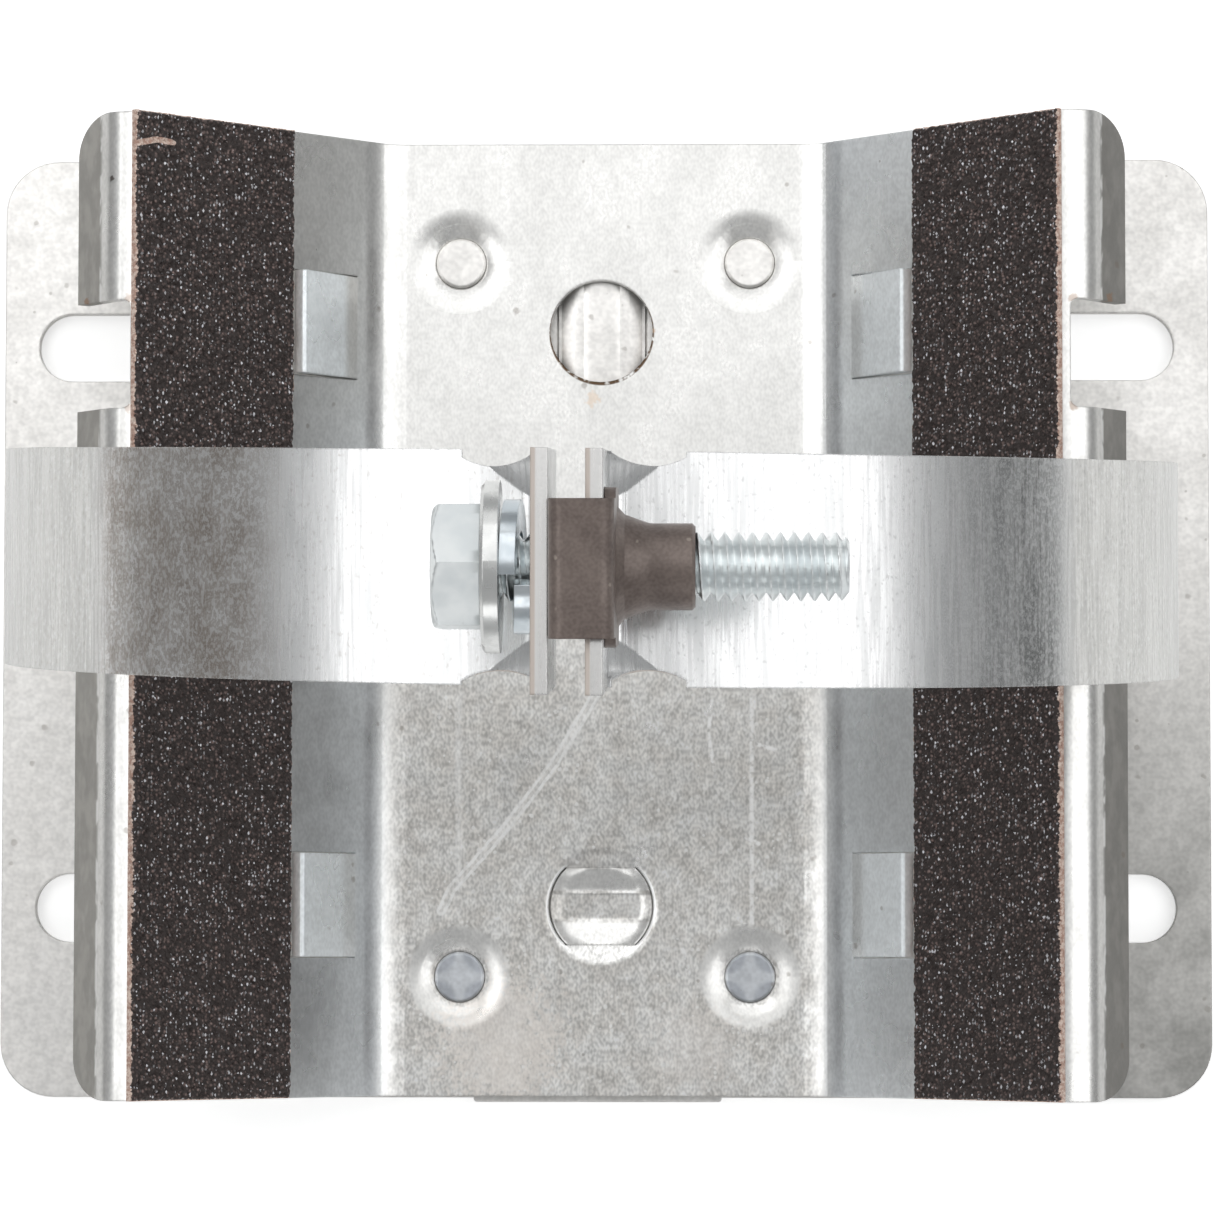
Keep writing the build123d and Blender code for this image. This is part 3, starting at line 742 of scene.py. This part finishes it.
# The arch's centre in X and Z and its outer radius are in mm, tilts are angles from its crown in radians, and
# where the painted shade and wear on its sides start and are full are a left value and what the right side adds to
# it.
bandFinish = {
    "centre": (0.0, 66.38),
    "radius": 61.2,
    "light": (0.90, 0.905, 0.905, 1.0),
    "dull": (0.76, 0.765, 0.765, 1.0),
    "lineScale": 2600.0,
    "streakScale": 420.0,
    # painted shade at the band's ends
    "ends": (0.64, 0.635, 0.61, 1.0),
    "endTilt": (0.85, 0.93),
    "endStrength": 0.8,
    "endShade": (0.14, 0.93),
    # painted shade with wear on the band's sides: brown on the left, dark grey on the right
    "shadeAndWearLeft": (0.30, 0.25, 0.21, 1.0),
    "shadeAndWearRight": (0.18, 0.185, 0.18, 1.0),
    "shadeAndWearFrom": (0.45, 0.05),
    "shadeAndWearFull": (0.57, 0.24),
    "shadeAndWearEnd": (0.92, 0.84),
    "shadeAndWearLevel": (0.92, 0.08),
    "blotchScale": 210.0,
    "dotScale": 2100.0,
    "dotEdge": (0.37, 0.61),
    "streakedRight": 0.35,
    "cloudShare": (-0.24, 0.34),
    "speckledTilt": (0.30, 0.50, 0.06, 0.38),
    "smudged": 0.22,
    "earTop": 150.6,
    "ear": (0.70, 0.69, 0.675, 1.0),
    "earStrength": 0.8,
    "leftStrip": (-2.95, -3.15),
    "rightStrip": (0.0, 0.1, 1.8, 2.0),
    "cut": (0.56, 0.49, 0.44, 1.0),
    "cutStrength": 0.85,
    "cutRough": 0.25,
    "roughness": (0.22, 0.32),
    "relief": 6e-6,
    "edge": 0.25 * mm,
}


# Arc length round the band goes to X and the place across it to Y: the angle from the crown times the radius.
def bandCoords(parts, settings):
    x0, z0 = settings["centre"]
    up = minus(parts["Z"], z0 * mm)
    angle = calc("ARCTAN2", minus(parts["X"], x0 * mm), up)
    joined = put("ShaderNodeCombineXYZ")
    feed(times(angle, settings["radius"] * mm), joined.inputs[0])
    feed(parts["Y"], joined.inputs[1])
    return joined.outputs[0], angle


def makeBandFinish(settings):
    material, shader, coords = openMaterial("bandSteel", 1.0)
    parts = splitXYZ(coords)
    laid, angle = bandCoords(parts, settings)
    lines = noise(stretch(laid, (1.0, 0.05, 1.0)), settings["lineScale"], 1.0, 0.6)
    soft = noise(stretch(laid, (1.0, 0.12, 1.0)), settings["streakScale"], 1.0, 0.6)
    streak = plus(times(lines, 0.6), times(soft, 0.4))
    tone = fade(streak, 0.36, 0.64)
    colour = blendColour(tone, settings["dull"], settings["light"])

    # painted shade: the band darker at its ends, where it turns down
    tilt = calc("ABSOLUTE", angle)
    shadedEnds = times(fade(tilt, *settings["endTilt"]), settings["endStrength"])
    shadedEndColour = shadeColour(settings["ends"], calc("MULTIPLY_ADD", tone, *settings["endShade"]))
    colour = blendColour(shadedEnds, colour, shadedEndColour)

    # painted shade with wear: a dark band on each side at the tilt where the arch turns away, mottled, streaked on
    # the right
    rightSide = rightHalf(parts)
    (fromLeft, fromMore), (fullLeft, fullMore) = settings["shadeAndWearFrom"], settings["shadeAndWearFull"]
    shadeAndWearFrom = calc("MULTIPLY_ADD", rightSide, fromMore, fromLeft)
    shadeAndWearFull = calc("MULTIPLY_ADD", rightSide, fullMore, fullLeft)
    onSide = times(fade(tilt, shadeAndWearFrom, shadeAndWearFull), fade(tilt, *settings["shadeAndWearEnd"]))
    shadeAndWearColour = blendColour(rightSide, settings["shadeAndWearLeft"], settings["shadeAndWearRight"])
    blotch = noise(coords, settings["blotchScale"], 2.0, 0.6)
    dots = noise(stretch(laid, (1.0, 0.7, 1.0)), settings["dotScale"], 2.0, 0.65)
    streaked = times(rightSide, settings["streakedRight"])
    grainy = times(fade(dots, *settings["dotEdge"]), rest(streaked))
    grainy = plus(grainy, times(tone, streaked))
    cloudy = calc("MULTIPLY_ADD", rightSide, *settings["cloudShare"])
    shadeAndWearMottle = times(fade(blotch, 0.32, 0.68), cloudy)
    shadeAndWearMottle = plus(shadeAndWearMottle, times(grainy, rest(cloudy)))
    worn = times(onSide, calc("MULTIPLY_ADD", shadeAndWearMottle, *settings["shadeAndWearLevel"]))
    colour = blendColour(worn, colour, shadeAndWearColour)
    speckled = times(fade(dots, 0.54, 0.64), fade(tilt, *settings["speckledTilt"]))
    colour = blendColour(speckled, colour, settings["light"])
    smudged = times(fade(dots, 0.42, 0.32), settings["smudged"])
    colour = blendColour(smudged, colour, shadeAndWearColour)

    # the ears' top faces, and the raw metal of the cut edges
    facing = facingXYZ()
    earTop = settings["earTop"]
    top = times(fade(facing["Z"], 0.80, 0.93), fadeMm(parts["Z"], (earTop, earTop + 0.3)))
    colour = paint(top, colour, settings, "ear")
    leftStrip = fadeMm(parts["X"], settings["leftStrip"])
    strips = calc("MAXIMUM", leftStrip, span(parts["X"], settings["rightStrip"]))
    edgeOn = fade(calc("ABSOLUTE", facing["Y"]), 0.90, 0.97)
    torn = calc("MAXIMUM", times(top, strips), edgeOn)
    colour = paint(torn, colour, settings, "cut")
    feed(colour, shader.inputs["Base Color"])

    low, high = settings["roughness"]
    rough = plus(fade(tone, 0.0, 1.0, high, low), times(torn, settings["cutRough"]))
    feed(rough, shader.inputs["Roughness"])
    height = plus(times(streak, 0.7), times(dots, 0.5))
    reliefNormal(height, settings["relief"], settings["edge"], shader)
    return material


# The zinc of the washers and the bolt, and the nut's spring steel; the specks' edges follow the skin's grain
# where they have no scale of their own.
zinc = {
    "metallic": 1.0,
    "skin": (260.0, 1500.0, 3600.0),
    "grainShare": 0.0,
    "raggedScale": None,
    "speck": (0.30, 0.29, 0.28, 1.0),
    "specks": (900.0, 0.08, 0.2),
    "speckStrength": 0.4,
    "relief": 4e-6,
    "edge": 0.12 * mm,
}
smallFinishes = {
    "zincWasher": {**zinc, "light": (0.86, 0.865, 0.85, 1.0), "dull": (0.70, 0.71, 0.70, 1.0),
                   "roughness": (0.20, 0.32)},
    "zincLockWasher": {**zinc, "light": (0.84, 0.89, 0.92, 1.0), "dull": (0.60, 0.66, 0.70, 1.0),
                       "roughness": (0.12, 0.24)},
    "zincBolt": {**zinc, "light": (0.88, 0.91, 0.91, 1.0), "dull": (0.79, 0.83, 0.84, 1.0),
                 "roughness": (0.31, 0.40)},
    "brownSpringSteel": {
        "metallic": 0.35,
        "skin": (230.0, 1200.0, 3200.0),
        "grainShare": 0.4,
        "raggedScale": 2600.0,
        "light": (0.22, 0.178, 0.158, 1.0),
        "dull": (0.125, 0.097, 0.086, 1.0),
        "speck": (0.50, 0.44, 0.38, 1.0),
        "specks": (850.0, 0.14, 0.26),
        "speckStrength": 0.5,
        "roughness": (0.34, 0.46),
        "relief": 7e-6,
        "edge": 0.2 * mm,
    },
}


def makeSmallFinish(name, settings):
    material, shader, coords = openMaterial(name, settings["metallic"])
    skin = skinAt(coords, settings["skin"])
    share, scale = settings["grainShare"], settings["raggedScale"]
    mixed = plus(times(skin["Cloud"], 1.0 - share), times(skin["Grain"], share))
    colour = blendColour(mixed, settings["dull"], settings["light"])
    ragged = noise(coords, scale) if scale else skin["Grain"]
    colour = paintSpecks(coords, ragged, colour, settings)
    feed(colour, shader.inputs["Base Color"])
    feed(cloudRoughness(skin, settings), shader.inputs["Roughness"])
    reliefNormal(skin["Height"], settings["relief"], settings["edge"], shader)
    return material


gritFinish = {
    "dark": (0.030, 0.021, 0.019, 1.0),
    "grain": (0.32, 0.23, 0.21, 1.0),
    "grainScale": 2300.0,
    "grainEdge": (0.62, 0.05),
    "grainPower": 1.6,
    "spark": (0.86, 0.86, 0.90, 1.0),
    "sparkScale": 2500.0,
    "sparkStretch": (1.2, 0.85, 1.0),
    "sparkless": 0.60,
    "sparkReach": (0.36, 0.22, 0.12),
    "sparkPower": 1.2,
    "fibre": (0.46, 0.29, 0.23, 1.0),
    "fibrePale": (0.74, 0.60, 0.52, 1.0),
    "fibreScale": 1900.0,
    "rimRagged": 1.5,
    "nick": [(-51.8, 52.2, 33.2), (-49.6, 52.9, 31.2), (-47.9, 52.8, 29.5)],
    "nickEdge": (0.55, 0.2),
    "roughness": (0.60, 0.30),
    "relief": 9e-5,
}


# Grit: cells of random brown for the grains, a share of smaller cells pale as facets that catch the light,
# and the backing's pink fibre where the rim attribute is high.
def makeGritFinish(settings):
    material, shader, coords = openMaterial("coarseGrit", 0.0)
    rim = put("ShaderNodeAttribute", attribute_name="rim").outputs["Fac"]
    middleGap, pick = randomCells(coords, settings["grainScale"])
    lump = fade(middleGap, *settings["grainEdge"])
    mixed = times(lump, calc("POWER", pick[0], settings["grainPower"]))
    colour = blendColour(mixed, settings["dark"], settings["grain"])

    facets = stretch(coords, settings["sparkStretch"])
    middleGap, pick = randomCells(facets, settings["sparkScale"], distance="MANHATTAN")
    more, least, soft = settings["sparkReach"]
    reach = calc("MULTIPLY_ADD", pick[1], more, least)
    spark = times(calc("GREATER_THAN", pick[0], settings["sparkless"]),
                  fade(middleGap, plus(reach, soft), reach))
    bright = times(spark, calc("POWER", pick[2], settings["sparkPower"]))
    colour = blendColour(bright, colour, settings["spark"])

    wool = noise(coords, settings["fibreScale"], 2.0, 0.7)
    fibre = blendColour(fade(wool, 0.4, 0.62), settings["fibre"], settings["fibrePale"])
    ragged = plus(rim, times(minus(wool, 0.5), settings["rimRagged"]))
    nick = fade(lineDistance(coords, settings["nick"]), *settings["nickEdge"])
    bare = fade(calc("MAXIMUM", ragged, nick), 0.50, 0.70)
    feed(blendColour(bare, colour, fibre), shader.inputs["Base Color"])
    feed(fade(spark, 0.0, 1.0, *settings["roughness"]), shader.inputs["Roughness"])
    reliefNormal(lump, settings["relief"], 0.0, shader)
    return material


materials = {
    "base": makeBaseFinish(baseFinish),
    "cradle": makeCradleFinish(cradleFinish),
    "band": makeBandFinish(bandFinish),
    "grit": makeGritFinish(gritFinish),
}
for finishName, finishValues in smallFinishes.items():
    materials[finishName] = makeSmallFinish(finishName, finishValues)
print("finishes made:", len(materials))


# Mesh from a grid of points (rows, columns, 3), as quads; a closed grid joins its last column to its first.
def gridMesh(name, points, closed=False, attributes=None):
    rows, columns, _ = points.shape
    index = np.arange(rows * columns).reshape(rows, columns)
    if closed:
        index = np.concatenate([index, index[:, :1]], axis=1)
    quads = np.stack([index[:-1, :-1], index[:-1, 1:], index[1:, 1:], index[1:, :-1]], axis=-1).reshape(-1, 4)
    mesh = bpy.data.meshes.new(name)
    mesh.from_pydata(points.reshape(-1, 3), [], quads)
    for label, values in (attributes or {}).items():
        layer = mesh.attributes.new(label, "FLOAT", "POINT")
        layer.data.foreach_set("value", values.reshape(-1).astype(np.float32))
    mesh.update()
    return mesh


# One piece from several meshes: their shared points are merged, open ends filled and faces turned outwards.
def closePiece(meshes, name, degrees=None):
    whole = bmesh.new()
    for mesh in meshes:
        whole.from_mesh(mesh)
        bpy.data.meshes.remove(mesh)
    bmesh.ops.remove_doubles(whole, verts=whole.verts, dist=1e-6)
    openEdges = [e for e in whole.edges if len(e.link_faces) == 1]
    bmesh.ops.holes_fill(whole, edges=openEdges, sides=0)
    bmesh.ops.recalc_face_normals(whole, faces=whole.faces)
    mesh = bpy.data.meshes.new(name)
    whole.to_mesh(mesh)
    whole.free()
    if degrees is not None:
        mesh.polygons.foreach_set("use_smooth", np.ones(len(mesh.polygons), bool))
        mesh.set_sharp_from_angle(angle=math.radians(degrees))
    return addObject(name, mesh)


# Sizes in mm. The flank is where the thread's wave starts to rise and how much of the pitch the rise takes;
# rings are shares of the head's height, or of the radius where an end closes.
boltShape = {
    "axis": (-2.7, 140.004),
    "headFace": -8.25,
    "headHeight": 4.6,
    "flats": 11.11,
    "headAround": 144,
    "headRings": (0.0, 0.03, 0.3, 0.6, 0.8, 0.84, 0.87, 0.90, 0.93, 0.96, 0.985, 1.0),
    "headCone": (0.30, 1.732),
    "faceTrim": (0.10, 0.08),
    "footRings": (0.3, 0.8),
    "crownRings": (0.96, 0.7, 0.3, 0.004),
    "major": 3.175,
    "minor": 2.42,
    "pitch": 1.27,
    "flank": (0.05, 0.40),
    "plain": 0.6,
    "tip": 25.4,
    "tipCone": (0.1, 1.2),
    "tipRings": (0.97, 0.8, 0.45, 0.02),
    "around": 72,
    "perPitch": 14,
    "smoothUnder": 34,
}


def column(values):
    return np.array(values)[:, None]


# Closed surface round the bolt's axis, from each point's place along it, its angle and its radius.
def turnedMesh(name, shape, x, angle, radius):
    y0, z0 = shape["axis"]
    points = np.stack([x, y0 + radius * np.cos(angle), z0 + radius * np.sin(angle)], axis=-1)
    return gridMesh(name, points * mm, closed=True)


# Thread: the radius over the turn and the axis is a V wave of (axis / pitch - angle / turn) with flat crests,
# cut by a cone at the tip and closed there by shrinking rings.
def threadMesh(shape):
    start = shape["headFace"]
    steps = int((shape["tip"] - start) / shape["pitch"] * shape["perPitch"])
    x = np.linspace(start, shape["tip"], steps + 1)
    angle = np.linspace(0.0, 2 * np.pi, shape["around"], endpoint=False)
    gridX, gridA = np.meshgrid(x, angle, indexing="ij")
    phase = (gridX / shape["pitch"] - gridA / (2 * np.pi)) % 1.0
    flankFrom, flankWide = shape["flank"]
    ramp = np.clip((np.abs(phase - 0.5) - flankFrom) / flankWide, 0.0, 1.0)
    radius = shape["minor"] + (shape["major"] - shape["minor"]) * ramp
    tipTrim, tipSlope = shape["tipCone"]
    radius = np.minimum(radius, shape["minor"] - tipTrim + (shape["tip"] - gridX) * tipSlope)
    radius = np.where(gridX < start + shape["plain"], shape["minor"], radius)
    shrink = column(shape["tipRings"])
    radius = np.concatenate([radius, radius[-1:] * shrink])
    gridX, gridA = (np.concatenate([grid, grid[-1:].repeat(len(shrink), axis=0)]) for grid in (gridX, gridA))
    return turnedMesh("thread", shape, gridX, gridA, radius)


# Head: rings from the underside to the crown. A ring's radius is the smaller of the hexagon's edge,
# flats / 2 / cos(angle from the flat), and the trimming cone's radius at that height.
def headMesh(shape):
    angle = np.linspace(0.0, 2 * np.pi, shape["headAround"], endpoint=False)[None, :]
    fromFlat = (angle + np.pi / 6) % (np.pi / 3) - np.pi / 6
    half = shape["flats"] / 2
    share, foot, crown = (column(shape[key]) for key in ("headRings", "footRings", "crownRings"))
    coneTrim, coneSlope = shape["headCone"]
    cone = half - coneTrim + (1.0 - share) * shape["headHeight"] * coneSlope
    footTrim, crownTrim = shape["faceTrim"]
    radius = np.minimum(half / np.cos(fromFlat), cone) - footTrim * (share == 0.0) - crownTrim * (share == 1.0)
    radius = np.concatenate([radius[:1] * foot, radius, radius[-1:] * crown])
    place = np.concatenate([foot * 0.0, share, crown * 0.0 + 1.0])
    x = shape["headFace"] - place * shape["headHeight"] + radius * 0
    return turnedMesh("head", shape, x, angle, radius)


bolt = closePiece([threadMesh(boltShape), headMesh(boltShape)], "threadedBolt", boltShape["smoothUnder"])
bolt.data.materials.append(materials["zincBolt"])
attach(bolt, "bolt")
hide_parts("clamp_bolt")
print("bolt made:", len(bolt.data.polygons), "faces")


# Sizes in mm, sides by their sign in X, and cells in steps; each side has its outer edge and its random seed.
padShape = {
    "y": (-54.35, 56.05),
    "innerX": 35.0,
    "outerX": {-1: 52.2, 1: 51.4},
    "seed": {-1: 11, 1: 23},
    "slopeShift": -19.6,
    "thick": 1.0,
    "step": 0.27,
    "grit": 0.34,
    "grainMix": (0.45, 0.55),
    "grainCell": 2.2,
    "grainEdge": (0.25, 0.5),
    "sunk": 0.02,
    "wave": 0.06,
    "waveCell": 26.0,
    "wander": ((14.0, 0.9), (4.0, 0.7)),
    "outerRim": 0.52,
    "innerRim": 0.16,
    "endRim": 0.22,
    "rimFall": 0.3,
    "least": 0.1,
    "wallHeights": (1.0, 0.5, -0.06),
}
slopeRoot = math.sqrt(0.5)


# Value noise on a grid: random lattice values joined by a cosine, at a cell size in steps.
def latticeNoise(rng, rows, columns, cell):
    lattice = rng.random((int(rows / cell) + 3, int(columns / cell) + 3))
    r = np.arange(rows) / cell
    c = np.arange(columns) / cell
    r0 = r.astype(int)
    c0 = c.astype(int)
    fr = (0.5 - 0.5 * np.cos((r - r0) * np.pi))[:, None]
    fc = (0.5 - 0.5 * np.cos((c - c0) * np.pi))[None, :]
    top = lattice[r0][:, c0] * (1 - fc) + lattice[r0][:, c0 + 1] * fc
    low = lattice[r0 + 1][:, c0] * (1 - fc) + lattice[r0 + 1][:, c0 + 1] * fc
    return top * (1 - fr) + low * fr


# Point on a pad's slope: u up the slope from the inner foot, v along Y, and a height off the metal.
def slopePoints(side, shape, u, v, height):
    foot = shape["innerX"] + shape["thick"] * slopeRoot
    x = foot + (u - height) * slopeRoot
    z = foot + shape["slopeShift"] + (u + height) * slopeRoot
    return np.stack([side * x, v, z], axis=-1)


# Values round a grid's border, in order.
def outline(grid):
    return np.concatenate([grid[0, :], grid[1:, -1], grid[-1, -2::-1], grid[-2:0:-1, 0]])


# Pad: a strip on the slope whose top is lifted by random grit and drawn down at its ragged edges,
# with a wall from the top's outline straight down to the metal. The rim attribute is 1 at the bare edge.
def padMeshes(side, shape):
    rng = np.random.default_rng(shape["seed"][side])
    y0, y1 = shape["y"]
    width = (shape["outerX"][side] - shape["innerX"]) / slopeRoot - shape["thick"]
    u = np.linspace(0.0, width, int(width / shape["step"]) + 1)
    v = np.linspace(y0, y1, int((y1 - y0) / shape["step"]) + 1)
    gridV, gridU = np.meshgrid(v, u, indexing="ij")
    single, grouped = shape["grainMix"]
    grains = rng.random(gridV.shape) * single + latticeNoise(rng, *gridV.shape, shape["grainCell"]) * grouped
    grainFrom, grainWide = shape["grainEdge"]
    grains = np.clip((grains - grainFrom) / grainWide, 0.0, 1.0)
    waves = latticeNoise(rng, *gridV.shape, shape["waveCell"]) - 0.5
    wander = sum(latticeNoise(rng, *gridV.shape, cell) * level for cell, level in shape["wander"])
    toOuter = (width - gridU) / shape["outerRim"]
    toInner = gridU / shape["innerRim"]
    toEnd = np.minimum(gridV - y0, y1 - gridV) / shape["endRim"]
    rim = np.clip(1.0 - np.minimum(np.minimum(toOuter, toInner), toEnd) / (wander + 0.05), 0.0, 1.0)
    height = shape["thick"] - shape["sunk"] - shape["grit"] * (1.0 - grains) - shape["wave"] * waves
    height = np.clip(height - rim * shape["rimFall"], shape["least"], shape["thick"])
    top = gridMesh("gritTop", slopePoints(side, shape, gridU, gridV, height) * mm, attributes={"rim": rim})
    fall = column(shape["wallHeights"])
    wall = slopePoints(side, shape, outline(gridU) + 0 * fall, outline(gridV) + 0 * fall, outline(height) * fall)
    edge = outline(rim) + 0 * fall
    return [top, gridMesh("gritWall", wall * mm, closed=True, attributes={"rim": edge})]


for side, padNode in ((-1, "left_grip_pad"), (1, "right_grip_pad")):
    pad = closePiece(padMeshes(side, padShape), padNode.replace("_grip", "") + "_grit")
    pad.data.materials.append(materials["grit"])
    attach(pad, "stand")
    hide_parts(padNode)
    print("pad made:", len(pad.data.polygons), "faces")

for node, key in (("base_plate", "base"), ("cradle", "cradle"), ("clamp_band", "band"),
                  ("u_nut", "brownSpringSteel"), ("flat_washer", "zincWasher"), ("lock_washer", "zincLockWasher")):
    nodes[node].data.materials.clear()
    nodes[node].data.materials.append(materials[key])
print("finishes placed on the metal pieces")


# Sizes and places are in metres. Each lamp: name, place, the point it faces, its size, its turn about its own
# axis in degrees, its power.
studio = {
    "floorColour": (0.93, 0.93, 0.925, 1.0),
    "floorRoughness": 0.9,
    "floorSpecular": 0.1,
    "floorSize": 1.2,
    "floorUnder": -0.0001,
    "floorSeen": 0.5,
    "floorMirrored": 0.12,
    "worldLit": ((0.98, 0.99, 1.0, 1.0), 0.375),
    "worldSeen": ((1.0, 1.0, 1.0, 1.0), 1.0),
    "lamps": [
        ("overhead", (-0.06, 0.64, 1.22), (0.0, 0.0, 0.0), (1.4, 1.25), -8.0, 4.75),
        ("leftSide", (-0.75, 0.15, 1.16), (0.0, 0.0, 0.03), (1.3, 0.58), 0.0, 2.9),
        ("rightSide", (0.87, 0.15, 1.07), (0.0, 0.0, 0.03), (1.3, 0.84), 0.0, 3.75),
        ("front", (0.0, -1.24, 0.68), (0.0, 0.0, 0.03), (1.4, 0.5), 0.0, 1.9),
        ("back", (0.0, 1.30, 0.66), (0.0, 0.0, 0.03), (1.4, 0.45), 0.0, 1.1),
    ],
}


# Floor: a square that adds its own light where the camera or a mirroring surface looks at it.
def makeFloor(settings):
    half = settings["floorSize"] / 2
    mesh = bpy.data.meshes.new("floor")
    corners = [(-half, -half), (half, -half), (half, half), (-half, half)]
    mesh.from_pydata([(x, y, settings["floorUnder"]) for x, y in corners], [], [(0, 1, 2, 3)])
    material = bpy.data.materials.new("paleFloor")
    material.use_nodes = True
    current["tree"] = material.node_tree
    shader = material.node_tree.nodes["Principled BSDF"]
    shader.inputs["Base Color"].default_value = settings["floorColour"]
    shader.inputs["Roughness"].default_value = settings["floorRoughness"]
    shader.inputs["Specular IOR Level"].default_value = settings["floorSpecular"]
    shader.inputs["Emission Color"].default_value = (1, 1, 1, 1)
    path = put("ShaderNodeLightPath")
    seen = times(path.outputs["Is Camera Ray"], settings["floorSeen"])
    mirrored = times(path.outputs["Is Glossy Ray"], settings["floorMirrored"])
    feed(plus(seen, mirrored), shader.inputs["Emission Strength"])
    mesh.materials.append(material)
    floor = addObject("floor", mesh)


# World: one light for the object, and white where the camera looks past it.
def makeWorld(settings):
    world = bpy.data.worlds.new("studioWorld")
    bpy.context.scene.world = world
    world.use_nodes = True
    current["tree"] = world.node_tree
    world.node_tree.nodes.clear()
    mix = put("ShaderNodeMixShader")
    feed(put("ShaderNodeLightPath").outputs["Is Camera Ray"], mix.inputs[0])
    for socket, key in zip(mix.inputs[1:], ("worldLit", "worldSeen")):
        light = put("ShaderNodeBackground")
        light.inputs["Color"].default_value, light.inputs["Strength"].default_value = settings[key]
        feed(light.outputs[0], socket)
    feed(mix.outputs[0], put("ShaderNodeOutputWorld").inputs[0])


def makeLamp(name, place, aim, size, turn, power):
    data = bpy.data.lights.new(name, "AREA")
    data.shape = "RECTANGLE"
    data.size, data.size_y = size
    data.energy = power
    lamp = addObject(name, data)
    lamp.location = place
    facing = (Vector(aim) - Vector(place)).to_track_quat("-Z", "Y")
    lamp.rotation_euler = (facing @ Quaternion((0.0, 0.0, 1.0), math.radians(turn))).to_euler()


makeFloor(studio)
makeWorld(studio)
for lampValues in studio["lamps"]:
    makeLamp(*lampValues)
print("studio set")
